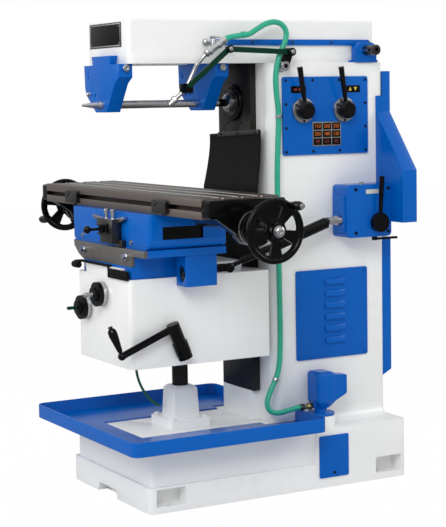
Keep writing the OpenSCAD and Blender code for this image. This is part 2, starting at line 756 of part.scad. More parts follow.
// A yoke hangs from the overarm's dovetail and carries the arbor in its bore
module yoke(mid) {
  half = yoke_w / 2;
  foot = dovetail_w / 2 - slide_gap - 9;
  top = column_top - slide_gap;
  difference() {
    union() {
      along_y(mid - yoke_t / 2, mid + yoke_t / 2) {
        polygon([[-half, top], [-foot, top], [-foot - 9, top + dovetail_h], [foot + 9, top + dovetail_h], [foot, top],
                 [half, top], [half, spindle_z + 90], [half - 34, spindle_z + 70], [36, spindle_z - 25],
                 [-50, spindle_z - 25], [-half + 16, spindle_z + 32], [-half + 4, spindle_z + 56]]);
      }
    }
    rod_y(arbor_d + 2 * run_gap, 0, mid - yoke_t, mid + yoke_t, spindle_z);
    rod_x(12, half - 60, half + 1, mid, column_top - 14);
    rod_y(10, -half + 34, mid - yoke_t, mid - yoke_t / 2 + 12, spindle_z + 95);
    rod_y(10, -50, mid - yoke_t, mid - yoke_t / 2 + 12, spindle_z + 32);
  }
}

module front_yoke() {
  color(blue) yoke(front_yoke_y);
}

module rear_yoke() {
  color(blue) yoke(rear_yoke_y);
}

// Spindle group

spindle_rear_d = 70;
spindle_face = 40;
arbor_flange = 34;

module spindle() {
  color(steel) difference() {
    union() {
      rod_y(spindle_d, 0, spindle_face, column_front + column_wall + 14, spindle_z);
      rod_y(spindle_rear_d, 0, column_front + column_wall, guard_rear - 10, spindle_z);
    }
    translate([0, spindle_face - 0.01, spindle_z]) rotate([-90, 0, 0]) cylinder(d1 = 44.5, d2 = 30, h = 60);
  }
}

module arbor() {
  color(steel) {
    translate([0, spindle_face, spindle_z]) rotate([-90, 0, 0]) cylinder(d1 = 44, d2 = 29.5, h = 59);
    rod_y(62, 0, arbor_flange - 4, spindle_face, spindle_z);
    rod_y(arbor_d, 0, front_yoke_y - yoke_t / 2 - 8, arbor_flange, spindle_z);
    translate([0, arbor_tip, spindle_z]) rotate([-90, 0, 0])
      cylinder(d1 = 8, d2 = arbor_d, h = front_yoke_y - yoke_t / 2 - 7 - arbor_tip);
  }
}

// Levers on the column's right side

lever_reach = 152;
lever_lean = 11;
lever_out = 4;

module speed_lever(y) {
  color(black) {
    rod_x(18, lever_boss_x - 12, lever_boss_x + 2, y, lever_z);
    rod_x(62, lever_boss_x + slide_gap, lever_boss_x + 24, y, lever_z);
    translate([lever_boss_x + 23, y, lever_z]) rotate([0, 90, 0]) cylinder(d1 = 62, d2 = 48, h = 8);
    translate([lever_boss_x + 12, y, lever_z]) rotate([lever_lean, lever_out, 0]) cylinder(d1 = 13, d2 = 20, h = lever_reach);
  }
}

module speed_lever_front() { speed_lever(lever_y[0]); }

module speed_lever_rear() { speed_lever(lever_y[1]); }

module feed_lever() {
  color(black) {
    rod_x(20, gearbox_out - 20, feed_lever_x + 2, feed_lever_y, feed_lever_z);
    rod_x(68, feed_lever_x + pass_gap, feed_lever_x + 20, feed_lever_y, feed_lever_z);
    translate([feed_lever_x + 12, feed_lever_y, feed_lever_z]) rotate([-3, 0, 0]) cylinder(d1 = 12, d2 = 19, h = 162);
  }
}

clutch = [276, 462];

// The feed clutch's lever, on a pin under the gearbox
module feed_clutch() {
  color(black) {
    rod_z(12, clutch[0], clutch[1], gearbox_z[0] - 14, gearbox_z[0] + 20);
    rod_z(20, clutch[0], clutch[1], gearbox_z[0] - 14, gearbox_z[0] - slide_gap);
    along_z(gearbox_z[0] - 13, gearbox_z[0] - 5) translate(clutch) {
      translate([-5, 0]) square([10, 86]);
      translate([0, 88]) circle(9);
    }
  }
}

// Knee group

knee_wall = 26;
knee_x = knee_w / 2;
dial_y = knee_front;
cross_dial_z = 706;
lift_dial_x = -135;
lift_dial_z = 647;
dial_shaft_d = 22;
dial_d = 84;

module knee() {
  color(white) difference() {
    union() {
      along_z(knee_bottom, knee_top) {
        rounded(-knee_x, knee_x, knee_front, knee_front + 200, 16);
        rounded(-knee_x, knee_x, knee_front + 90, knee_rear, 6);
      }
      along_y(knee_front + 2, -4) dovetail(0, cross_way_w, 12, knee_top, cross_way_h);
    }
    block([-knee_x + knee_wall, knee_front + knee_wall, knee_bottom + knee_wall],
          [knee_x - knee_wall, 0, knee_top - knee_wall]);
    along_z(knee_bottom - 1, knee_top + 1)
      polygon([[-way_w / 2 - slide_gap, way_front - slide_gap], [way_w / 2 + slide_gap, way_front - slide_gap],
               [way_w / 2 - way_undercut + slide_gap, column_front], [-way_w / 2 + way_undercut - slide_gap, column_front]]);
    rod_z(lift_screw_d + 2 * run_gap, 0, lift_screw_y, knee_bottom - 1, knee_bottom + knee_wall + 1);
    rod_y(dial_shaft_d + 2 * run_gap, 0, knee_front - 1, knee_front + knee_wall + 1, cross_dial_z);
    rod_y(dial_shaft_d + 2 * run_gap, lift_dial_x, knee_front - 1, knee_front + knee_wall + 1, lift_dial_z);
  }
}

// The rolled wiper over the front of the knee's cross ways
module knee_wiper() {
  color(black) {
    block([55, knee_front - 8, knee_top - 2], [205, knee_front, knee_top + cross_way_h - 4]);
    block([-knee_x + 20, knee_front - 8, knee_top + cross_way_h + slide_gap], [56, knee_front + 10, knee_top + cross_way_h + 6]);
    block([54, knee_front - 8, knee_top + cross_way_h - 5], [56, knee_front, knee_top + cross_way_h + 6]);
    rod_x(24, -knee_x + 12, -knee_x + 50, knee_front - 18, knee_top + 24);
    block([-knee_x + 20, knee_front - 20, knee_top + cross_way_h - 2], [-knee_x + 50, knee_front - 7, knee_top + cross_way_h + 6]);
  }
}

lift_screw_low = 120;

module lift_screw() {
  color([0.16, 0.16, 0.17]) {
    rod_z(lift_screw_d, 0, lift_screw_y, lift_screw_low, knee_bottom + knee_wall);
    rod_z(lift_screw_d + 24, 0, lift_screw_y, knee_bottom + knee_wall + slide_gap, knee_bottom + knee_wall + 30);
    rod_z(lift_screw_d - 4, 0, lift_screw_y, knee_bottom + knee_wall - 1, knee_bottom + knee_wall + 2);
  }
}

module dial(x, z, stub_d, stub_l) {
  color(black) {
    rod_y(dial_d, x, dial_y - 31, dial_y - 2, z);
    rod_y(dial_d * 0.62, x, dial_y - 42, dial_y - 30, z);
    rod_y(dial_shaft_d, x, dial_y - 3, dial_y + knee_wall + 30, z);
  }
  color(steel) rod_y(stub_d, x, dial_y - 42 - stub_l, dial_y - 41, z);
}

module cross_dial() { dial(0, cross_dial_z, 16, 30); }

module lift_dial() { dial(lift_dial_x, lift_dial_z, 12, 34); }

// Loose crank, hung by its socket on a peg that leans towards the operator

peg_x = knee_x + 27;
crank_top = [-325, 613];
crank_lean = 22;
crank_hub_d = 44;
crank_hub_l = 104;
crank_arm = 208;
peg_d = 18;

module on_peg() { translate([peg_x, crank_top[0], crank_top[1]]) rotate([crank_lean, 0, 0]) children(); }

module crank_peg() {
  color(black) on_peg() {
    translate([0, 0, -crank_hub_l - 12]) cylinder(d = peg_d, h = crank_hub_l + 2);
    translate([0, 0, -crank_hub_l - 20]) cylinder(d = crank_hub_d + 6, h = 18 - slide_gap);
    difference() {
      translate([-crank_hub_d, -14, -crank_hub_l - 20]) cube([crank_hub_d, 28, 17]);
      translate([-peg_x - 10, -60, -crank_hub_l - 60]) cube([peg_x + 10 - peg_x + knee_x, 120, 120]);
    }
  }
}

module crank() {
  color(black) on_peg() {
    difference() {
      union() {
        translate([0, 0, -crank_hub_l]) cylinder(d = crank_hub_d, h = crank_hub_l + 4);
        translate([0, 0, -crank_hub_l - 2]) cylinder(d = crank_hub_d + 8, h = 42);
        translate([0, 0, -10]) rotate([90, 0, 0]) cylinder(d = 24, h = crank_arm);
        translate([0, -crank_arm, -10]) sphere(d = 28);
        translate([0, 0, -crank_hub_l + 20]) rotate([0, 90, 0]) cylinder(d = 9, h = crank_hub_d / 2 + 4);
      }
      translate([0, 0, -crank_hub_l - 13]) cylinder(d = peg_d + 2 * run_gap, h = crank_hub_l + 3.5);
    }
    translate([0, -crank_arm, -10]) cylinder(d = 10, h = 106);
    translate([0, -crank_arm, 95]) cylinder(d = 16, h = 3);
  }
}

module crank_grip() {
  color(black) on_peg() translate([0, -crank_arm, 6]) difference() {
    rotate_extrude() difference() {
      union() {
        square([8, 84]);
        polygon([[7, 0], [9, 6], [12, 34], [15.5, 62], [14.5, 76], [10, 84], [7, 84]]);
      }
      square([5 + run_gap, 90]);
    }
  }
}

drain_route = [[-30, -338, knee_bottom - 0.6], [-32, -336, knee_bottom - 24], [-40, -328, knee_bottom - 62],
  [-50, -313, knee_bottom - 98], [-56, -294, knee_bottom - 130], [-58, -272, knee_bottom - 158],
  [-57, -252, knee_bottom - 176], [-54, -236, knee_bottom - 186]];

module drain_hose() {
  color([0.20, 0.42, 0.30]) tube_along(spline(drain_route, 4), drain_d, 8);
}

// Saddle group

plate_low_z = 812;
plate_top_z = 871;
saddle_low_x = 200;
flange_x = 295;
flange_z = 848;
plate_t = 15;

module saddle() {
  color(blue) difference() {
    union() {
      block([-saddle_low_x + 20, saddle_front - 16, cross_bottom], [saddle_low_x, saddle_rear, plate_low_z]);
      block([-saddle_low_x, saddle_front - 16 + plate_t, plate_low_z - 1], [saddle_low_x, saddle_rear, flange_z + 1]);
      block([-flange_x, saddle_front - 16 + plate_t, flange_z], [flange_x, saddle_rear, plate_top_z + 1]);
      intersection() {
        along_y(saddle_front, saddle_rear) {
          rounded(-saddle_w / 2, saddle_w / 2, plate_top_z, saddle_top - 20, 38);
          translate([-saddle_w / 2, plate_top_z + 40]) square([saddle_w, saddle_top - plate_top_z - 40]);
        }
        along_z(plate_top_z - 1, saddle_top + 1)
          rounded(-saddle_w / 2, saddle_w / 2, saddle_front, saddle_rear, 14);
      }
      along_x(-saddle_w / 2 + 4, saddle_w / 2 - 4) dovetail(table_mid, 150, 9, saddle_top, 24);
    }
    along_y(saddle_front - 40, saddle_rear + 40) dovetail(0, cross_way_w, 12, knee_top, cross_way_h, slide_gap);
    rod_x(lead_screw_d + 2 * run_gap, -saddle_w, saddle_w, lead_screw_y, lead_screw_z);
    block([saddle_w / 2 - 12, saddle_front + 50, 906], [saddle_w / 2 + 1, saddle_front + 200, 948]);
    rod_y(30, 0, saddle_front - 30, saddle_front + 8, 900);
  }
}

// The grey clamp plate across the front of the lower saddle
module swivel_plate() {
  color(iron) along_y(saddle_front - 16, saddle_front - 16 + plate_t)
    polygon([[-189, plate_low_z], [saddle_low_x - 3, plate_low_z], [saddle_low_x - 3, flange_z], [flange_x, flange_z],
             [flange_x, plate_top_z], [-266, plate_top_z], [-254, plate_top_z - 22], [-226, plate_top_z - 44]]);
}

module saddle_bolts() {
  color(steel) {
    for (x = [-172, 168]) translate([x, saddle_front - 16, 846]) rotate([90, 0, 0]) {
      cylinder(d = 28, h = 6);
      cylinder(d = 20, h = 18, $fn = 6);
    }
    for (x = [-216, 172]) head_y(17, 4, x, saddle_front, 892);
  }
}

feed_block_y = [-298, -180];
feed_block_x = 290;
feed_block_bottom = 743;

module feed_block() {
  color(blue) difference() {
    union() {
      along_z(feed_block_bottom, flange_z) rounded(knee_x + 3, feed_block_x, feed_block_y[0], feed_block_y[1], 8);
      block([saddle_low_x, feed_block_y[0] + 10, knee_top + 6], [knee_x + 20, feed_block_y[1] - 10, flange_z]);
    }
    rod_y(58, (knee_x + 3 + feed_block_x) / 2, feed_block_y[0] - 1, feed_block_y[0] + 26, 784);
  }
}

// The open fork of the lower joint: long, so that the shaft's eye stays between its arms at every knee height
module feed_fork() {
  color(steel) {
    rod_y(36, feed_x, feed_block_y[1], feed_block_y[1] + 10, feed_low_z);
    fork_arms(feed_block_y[1] + 6, feed_low_y + 16, feed_low_z);
  }
}

trip_x = 48;
trip_front = saddle_front - 36;

module trip_block() {
  color(black) {
    along_y(trip_front, saddle_front)
      polygon([[trip_x - 44, 884], [trip_x + 50, 884], [trip_x + 52, 966], [trip_x - 66, 966], [trip_x - 68, 948],
               [trip_x - 44, 922]]);
    along_y(trip_front + 20, saddle_front)
      polygon([[trip_x - 66, 950], [trip_x - 60, 966], [trip_x - 145, 972], [trip_x - 145, 962]]);
    along_y(trip_front + 20, saddle_front)
      polygon([[trip_x + 40, 946], [trip_x + 100, 966], [trip_x + 100, 976], [trip_x + 40, 966]]);
    block([trip_x + 40, trip_front + 20, 874], [trip_x + 84, saddle_front, 896]);
    for (z = [trip_pivot[2] - 18, trip_pivot[2] + 12 + slide_gap])
      block([trip_x - 13, trip_pivot[1] - 13, z], [trip_x + 13, trip_front + 1, z + 6 - slide_gap]);
    rod_z(8, trip_pivot[0], trip_pivot[1], trip_pivot[2] - 17, trip_pivot[2] + 17);
  }
  color(steel) for (x = [-22, 28]) {
    rod_z(12, trip_x + x, trip_front + 16, 965, 982);
    rod_z(18, trip_x + x, trip_front + 16, 981, 998);
  }
}

trip_pivot = [trip_x, trip_front - 13, 932];

module trip_lever() {
  color(black) difference() {
    union() {
      rod_z(22, trip_pivot[0], trip_pivot[1], trip_pivot[2] - 12, trip_pivot[2] + 12);
      rod_y(10, trip_pivot[0], trip_pivot[1] - 50, trip_pivot[1], trip_pivot[2]);
      translate([trip_pivot[0], trip_pivot[1] - 54, trip_pivot[2]]) sphere(d = 26);
    }
    rod_z(8 + 2 * run_gap, trip_pivot[0], trip_pivot[1], trip_pivot[2] - 13, trip_pivot[2] + 13);
  }
}

// Table group

table_under = saddle_top + slide_gap;
dog_slot_z = 1022;
bracket_t = 46;

module table_section() {
  difference() {
    translate([table_front, table_under]) square([table_w, table_top - table_under]);
    dovetail(table_mid, 150, 9, saddle_top, 24, slide_gap);
    for (k = [-1 : 1]) translate([table_mid + k * slot_pitch, 0]) {
      translate([-slot_w / 2, table_top - 26]) square([slot_w, 27]);
      translate([-slot_foot_w / 2, table_top - 26]) square([slot_foot_w, 11]);
    }
    translate([table_front - 1, dog_slot_z - 7]) square([19, 14]);
    translate([table_front + 9, dog_slot_z - 11]) square([9, 22]);
  }
}

module table() {
  color(iron) difference() {
    along_x(-table_x, table_x) table_section();
    for (s = [-1, 1]) block([s * (table_x - 22) - 11, table_front + 14, table_top - 9],
                            [s * (table_x - 22) + 11, table_rear - 14, table_top + 1]);
  }
}

module end_brackets() {
  color(black) for (s = [-1, 1]) difference() {
    along_x(s > 0 ? table_x : -table_x - bracket_t, s > 0 ? table_x + bracket_t : -table_x) {
      rounded(table_front + 4, table_rear - 4, table_under + 4, table_top - 5, 8);
      translate([lead_screw_y, lead_screw_z]) circle(54);
      polygon([[table_front + 22, table_under + 8], [table_rear - 22, table_under + 8],
               [lead_screw_y + 50, lead_screw_z - 18], [lead_screw_y - 50, lead_screw_z - 18]]);
    }
    rod_x(lead_screw_d + 2 * run_gap, -table_l, table_l, lead_screw_y, lead_screw_z);
  }
}

dial_gap = 3;
index_d = 108;
wheel_hub_l = 46;

module table_screw() {
  color(steel) rod_x(lead_screw_d, -wheel_x - 30, wheel_x + 30, lead_screw_y, lead_screw_z);
  color(black) for (s = [-1, 1]) translate([0, lead_screw_y, lead_screw_z]) {
    x0 = table_x + bracket_t + dial_gap;
    translate([s > 0 ? x0 : -x0 - 34, 0, 0]) rotate([0, 90, 0]) difference() {
      cylinder(d = index_d, h = 34);
      translate([0, 0, -1]) cylinder(d = lead_screw_d, h = 36);
    }
    translate([s > 0 ? x0 + 34 : -wheel_x + wheel_hub_l / 2, 0, 0]) rotate([0, 90, 0]) difference() {
      cylinder(d = 54, h = wheel_x - wheel_hub_l / 2 - x0 - 34);
      translate([0, 0, -1]) cylinder(d = lead_screw_d, h = 300);
    }
  }
}

grip_pin_d = 10;
grip_r = wheel_d / 2 - 10;
grip_angle = [58, 219];

// A handwheel with its axis along Z and the pin of its grip at angle a
module wheel(a, turn) {
  rim = 9;
  difference() {
    union() {
      rotate_extrude() translate([wheel_d / 2 - rim, 0]) circle(rim);
      translate([0, 0, -5]) cylinder(r = wheel_d / 2 - rim, h = 10);
      translate([0, 0, -wheel_hub_l / 2]) cylinder(d = 54, h = wheel_hub_l);
      rotate(a) translate([grip_r, 0, -4]) cylinder(d = grip_pin_d, h = 88);
      rotate(a) translate([grip_r, 0, 78]) cylinder(d = 17, h = 5);
    }
    translate([0, 0, -wheel_hub_l]) cylinder(d = lead_screw_d + 2 * run_gap, h = 2 * wheel_hub_l);
    for (k = [0 : 4]) rotate(72 * k + turn) translate([0, 0, -6]) linear_extrude(12)
      polygon([[36, -10], [36, 10], [72, 26], [77, 14], [78, 0], [77, -14], [72, -26]]);
  }
}

module grip(a) {
  rotate(a) translate([grip_r, 0, 10]) rotate_extrude()
    polygon([[grip_pin_d / 2 + run_gap, 0], [9, 0], [11, 12], [14, 34], [14.5, 50], [12, 62], [9, 66],
             [grip_pin_d / 2 + run_gap, 66]]);
}

module at_wheel(s) {
  translate([s * wheel_x, lead_screw_y, lead_screw_z]) rotate([90, 0, 90]) mirror([0, 0, s > 0 ? 0 : 1]) children();
}

module handwheel_right() { color(black) at_wheel(1) wheel(grip_angle[0], 18); }

module handwheel_left() { color(black) at_wheel(-1) wheel(grip_angle[1], 54); }

module wheel_grip_right() { color(black) at_wheel(1) grip(grip_angle[0]); }

module wheel_grip_left() { color(black) at_wheel(-1) grip(grip_angle[1]); }

// A trip dog, clamped in the T-slot along the table's front
dog_w = 96;
dog_x = [-353, 346];

module trip_dog(x) {
  difference() {
    union() {
      along_y(table_front - 15, table_front - slide_gap) rounded(x - dog_w / 2, x + dog_w / 2, 998, 1040, 6);
      block([x - dog_w / 2 + 8, table_front - 1, dog_slot_z - 7 + slide_gap],
            [x + dog_w / 2 - 8, table_front + 10, dog_slot_z + 7 - slide_gap]);
      block([x - dog_w / 2 + 8, table_front + 9 + slide_gap, dog_slot_z - 11 + slide_gap],
            [x + dog_w / 2 - 8, table_front + 18 - slide_gap, dog_slot_z + 11 - slide_gap]);
      rod_z(12, x + 24, table_front - 8, 991, 1000);
    }
    rod_y(9, x - 18, table_front - 16, table_front - 9, dog_slot_z);
  }
}

module trip_dog_left() { color(steel) trip_dog(dog_x[0]); }

module trip_dog_right() { color(steel) trip_dog(dog_x[1]); }

// The two links of the coolant arm, with the valve and pipe on the second

upper_x = arm_x + link_t + link_gap;
pipe_d = 14;
valve_top = [214.5, -109.2, 1547.3];
pipe_route = [[208, -160, 1514], [203, -198, 1474], [199, -242, 1392], [184, -290, 1346]];

module rod_between(a, b, d) {
  v = b - a;
  translate(a) rotate([0, acos(v[2] / norm(v)), atan2(v[1], v[0])]) cylinder(d = d, h = norm(v));
}

module arm_lower() {
  color([0.05, 0.20, 0.15]) {
    link(arm_pivot, arm_elbow, arm_x);
    rod_x(arm_pin_d, arm_x + 1, upper_x + link_t + 2, arm_elbow[0], arm_elbow[1]);
    rod_x(arm_pin_d + 2, arm_x, arm_x + link_t, arm_elbow[0], arm_elbow[1]);
    rod_x(20, upper_x + link_t + link_gap, upper_x + link_t + 8, arm_elbow[0], arm_elbow[1]);
  }
}

module arm_upper() {
  color([0.05, 0.20, 0.15]) {
    link(arm_elbow, arm_end, upper_x);
    rod_x(arm_pin_d + 2, upper_x, upper_x + link_t, arm_end[0], arm_end[1]);
  }
}

module coolant_pipe() {
  color(steel) {
    rod_between(valve_top, pipe_route[0], 26);
    translate(pipe_route[0]) sphere(d = 28);
    for (k = [0 : 2]) rod_between(pipe_route[k], pipe_route[k + 1], pipe_d);
    translate(pipe_route[1]) sphere(d = pipe_d + 2);
    block([pipe_route[2][0] - 11, arm_end[0] - 12, 1381], [upper_x, arm_end[0] + 14, 1412]);
    rod_between(pipe_route[3] - 26 * unit(pipe_route[3] - pipe_route[2]), pipe_route[3] + [0, -4, -4], pipe_d + 6);
    translate([208, -138, 1529]) cylinder(d = 15, h = 30);
  }
}

base();
drip_tray();
base_door();
column();
column_ways();
control_panel();
louvre_cover();
frame_screws();
belt_guard();
rear_cover();
feed_gearbox();
feed_output();
pump();
coolant_hose();
screw_pedestal();
lift_nut();
way_mat();
pinion_bracket();
coolant_post();
overarm();
overarm_rail();
pinion_shaft();
front_yoke();
rear_yoke();
spindle();
arbor();
speed_lever_front();
speed_lever_rear();
feed_lever();
feed_clutch();
knee();
knee_wiper();
crank_peg();
drain_hose();
lift_screw();
cross_dial();
lift_dial();
crank();
crank_grip();
saddle();
swivel_plate();
saddle_bolts();
feed_block();
feed_fork();
trip_block();
trip_lever();
table();
end_brackets();
trip_dog_left();
trip_dog_right();
table_screw();
handwheel_right();
handwheel_left();
wheel_grip_right();
wheel_grip_left();
feed_tube();
feed_rod();
arm_lower();
arm_upper();
coolant_pipe();
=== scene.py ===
"""Studio scene of a knee-type horizontal milling machine.

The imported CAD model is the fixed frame. This script gives each casting soft edges and a finish, adds the
small fittings, plates, scales and hoses, and sets the light and the camera.
"""

from __future__ import annotations

import json
import logging
import math
from collections.abc import Callable, Sequence
from dataclasses import dataclass
from enum import Enum
from functools import cache

import bmesh
import bpy
from mathutils import Matrix, Vector

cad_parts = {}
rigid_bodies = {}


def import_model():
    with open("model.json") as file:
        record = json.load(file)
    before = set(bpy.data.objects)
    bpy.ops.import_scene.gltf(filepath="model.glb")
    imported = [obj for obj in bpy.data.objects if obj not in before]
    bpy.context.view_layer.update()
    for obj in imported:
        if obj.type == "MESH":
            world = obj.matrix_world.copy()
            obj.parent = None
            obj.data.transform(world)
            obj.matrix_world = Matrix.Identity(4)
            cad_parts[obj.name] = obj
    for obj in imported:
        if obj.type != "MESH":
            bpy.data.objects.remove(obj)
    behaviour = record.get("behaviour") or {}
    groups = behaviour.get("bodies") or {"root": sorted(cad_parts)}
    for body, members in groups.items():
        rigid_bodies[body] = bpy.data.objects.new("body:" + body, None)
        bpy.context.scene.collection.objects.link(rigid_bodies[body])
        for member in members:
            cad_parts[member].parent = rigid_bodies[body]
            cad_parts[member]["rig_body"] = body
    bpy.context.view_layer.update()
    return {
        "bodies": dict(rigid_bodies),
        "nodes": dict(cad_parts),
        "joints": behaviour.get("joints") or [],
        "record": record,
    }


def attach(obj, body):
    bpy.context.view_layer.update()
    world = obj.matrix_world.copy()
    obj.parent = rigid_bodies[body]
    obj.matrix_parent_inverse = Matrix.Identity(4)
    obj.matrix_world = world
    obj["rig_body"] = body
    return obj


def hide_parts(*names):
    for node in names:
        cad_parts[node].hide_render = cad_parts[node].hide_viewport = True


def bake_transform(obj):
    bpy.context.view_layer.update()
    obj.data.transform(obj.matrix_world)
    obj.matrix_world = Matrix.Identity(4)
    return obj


log = logging.getLogger("milling_machine")

Point = tuple[float, float, float]
Colour = tuple[float, float, float]
Profile = Sequence[tuple[float, float]]
Row = list[bmesh.types.BMVert]
Mesh = bpy.types.Mesh
Piece = bpy.types.Object
Node = bpy.types.Node
Socket = bpy.types.NodeSocket
Tree = bpy.types.NodeTree

MM = 0.001

# Angles in degrees: from which an edge is rounded, and up to which it is shaded smooth
SHARP_EDGE = 32.0
SMOOTH_CAST = 40.0
SMOOTH_SMALL = 35.0
EDGE_FACES = 3

# Directions in the CAD frame
TO_RIGHT: Point = (1, 0, 0)
TO_FRONT: Point = (0, -1, 0)
TO_REAR: Point = (0, 1, 0)
UPWARD: Point = (0, 0, 1)


def mm(*values: float) -> Vector:
    """Turns millimetres of the CAD frame into a vector in metres."""
    return Vector(v * MM for v in values)


def linear(value: int) -> float:
    """Turns a screen level of 0 to 255 into a linear one."""
    level = value / 255
    return level / 12.92 if level <= 0.04045 else ((level + 0.055) / 1.055) ** 2.4


def srgb(red: int, green: int, blue: int) -> Colour:
    """Turns a screen colour into the linear colour that a shader takes."""
    return linear(red), linear(green), linear(blue)


def add_object(name: str, data: bpy.types.ID) -> Piece:
    """Makes an object and links it to the scene.

    Args:
        name: the object's name.
        data: its mesh, curve, lamp or camera.

    Returns:
        The object.
    """
    made = bpy.data.objects.new(name, data)
    bpy.context.scene.collection.objects.link(made)
    return made


def plain_mesh(holder: Piece) -> Mesh:
    """Returns a plain mesh of what an object and its modifiers make."""
    return bpy.data.meshes.new_from_object(holder.evaluated_get(bpy.context.evaluated_depsgraph_get()))


# Shader node groups


class Wiring:
    """Adds and links nodes of one tree, so that a recipe reads as a list of steps."""

    def __init__(self, tree: Tree) -> None:
        """Keeps the material's or group's node tree."""
        self.tree = tree

    @classmethod
    def group(cls, name: str, inputs: dict[str, float | Point],
              output: str) -> tuple[Wiring, bpy.types.NodeOutputs, Socket]:
        """Starts a shader group that puts out one value.

        Args:
            name: the group's name.
            inputs: names of its inputs with their defaults, numbers or vectors.
            output: name of its output.

        Returns:
            The group's wiring, what its inputs give, and the socket that takes its output.
        """
        tree = bpy.data.node_groups.new(name, "ShaderNodeTree")
        for label, value in inputs.items():
            kind = "NodeSocketVector" if isinstance(value, tuple) else "NodeSocketFloat"
            tree.interface.new_socket(label, in_out="INPUT", socket_type=kind).default_value = value
        tree.interface.new_socket(output, in_out="OUTPUT", socket_type="NodeSocketFloat")
        w = cls(tree)
        return w, w.add("NodeGroupInput").outputs, w.add("NodeGroupOutput").inputs[output]

    def add(self, kind: str, values: dict[str, object] | None = None, **settings: object) -> Node:
        """Adds a node.

        Args:
            kind: the node's type name.
            values: default values of inputs, by the input's name.
            settings: properties of the node.

        Returns:
            The new node.
        """
        node = self.tree.nodes.new(kind)
        for name, value in settings.items():
            setattr(node, name, value)
        for name, value in (values or {}).items():
            node.inputs[name].default_value = value
        return node

    def link(self, source: Socket, target: Socket) -> None:
        """Joins two sockets."""
        self.tree.links.new(source, target)

    def effect(self, tree: Tree, **values: float | Point) -> Socket:
        """Places a shared effect with its own values and returns what it puts out."""
        return self.add("ShaderNodeGroup", values, node_tree=tree).outputs[0]

    def place(self) -> Socket:
        """Adds the piece's own coordinates."""
        return self.add("ShaderNodeTexCoord").outputs["Object"]

    def noise(self, where: Socket, scale: float, detail: float = 2.0, rough: float = 0.5) -> Socket:
        """Adds a noise texture.

        Args:
            where: the coordinates.
            scale: cells per metre.
            detail: octaves.
            rough: strength of the finer octaves.

        Returns:
            The noise's factor.
        """
        node = self.add("ShaderNodeTexNoise", {"Scale": scale, "Detail": detail, "Roughness": rough})
        self.link(where, node.inputs["Vector"])
        return node.outputs["Fac"]

    def spread(self, value: Socket, low: float = 0.0, high: float = 1.0, to_low: float = 0.0,
               to_high: float = 1.0) -> Socket:
        """Maps a range of a value to another range, clamped.

        Args:
            value: the socket to map.
            low: value that gives to_low.
            high: value that gives to_high.
            to_low: result at low.
            to_high: result at high.

        Returns:
            The mapped value.
        """
        limits = {"From Min": low, "From Max": high, "To Min": to_low, "To Max": to_high}
        node = self.add("ShaderNodeMapRange", limits)
        self.link(value, node.inputs["Value"])
        return node.outputs["Result"]

    def math(self, operation: str, first: Socket, second: Socket | float = 0.0) -> Socket:
        """Adds a math node.

        Args:
            operation: the node's operation.
            first: the first value.
            second: the second value, a socket or a number.

        Returns:
            The result.
        """
        node = self.add("ShaderNodeMath", operation=operation)
        self.link(first, node.inputs[0])
        if isinstance(second, Socket):
            self.link(second, node.inputs[1])
        else:
            node.inputs[1].default_value = second
        return node.outputs[0]

    def product(self, first: Socket, *others: Socket | float) -> Socket:
        """Multiplies values.

        Args:
            first: the first value.
            others: what it is multiplied by in turn.

        Returns:
            The product.
        """
        for other in others:
            first = self.math("MULTIPLY", first, other)
        return first

    def near(self, value: Socket, middle: float, half: float) -> Socket:
        """Gives 1 where a value lies within half of a middle, and 0 elsewhere."""
        return self.math("LESS_THAN", self.math("ABSOLUTE", self.math("SUBTRACT", value, middle)), half)

    def mix(self, factor: Socket, first: Colour | Socket, second: Colour | Socket) -> Socket:
        """Mixes two colours.

        Args:
            factor: share of the second colour.
            first: a colour or a socket.
            second: a colour or a socket.

        Returns:
            The mixed colour.
        """
        node = self.add("ShaderNodeMix", data_type="RGBA")
        self.link(factor, node.inputs["Factor"])
        for socket, value in ((node.inputs[6], first), (node.inputs[7], second)):
            if isinstance(value, Socket):
                self.link(value, socket)
            else:
                socket.default_value = (*value, 1.0)
        return node.outputs[2]

    def bump(self, height: Socket, strength: float, depth: float) -> Socket:
        """Turns a height into a normal.

        Args:
            height: the height, from 0 to 1.
            strength: share of the effect.
            depth: depth of the full height in metres.

        Returns:
            The normal.
        """
        node = self.add("ShaderNodeBump", {"Strength": strength, "Distance": depth})
        self.link(height, node.inputs["Height"])
        return node.outputs["Normal"]


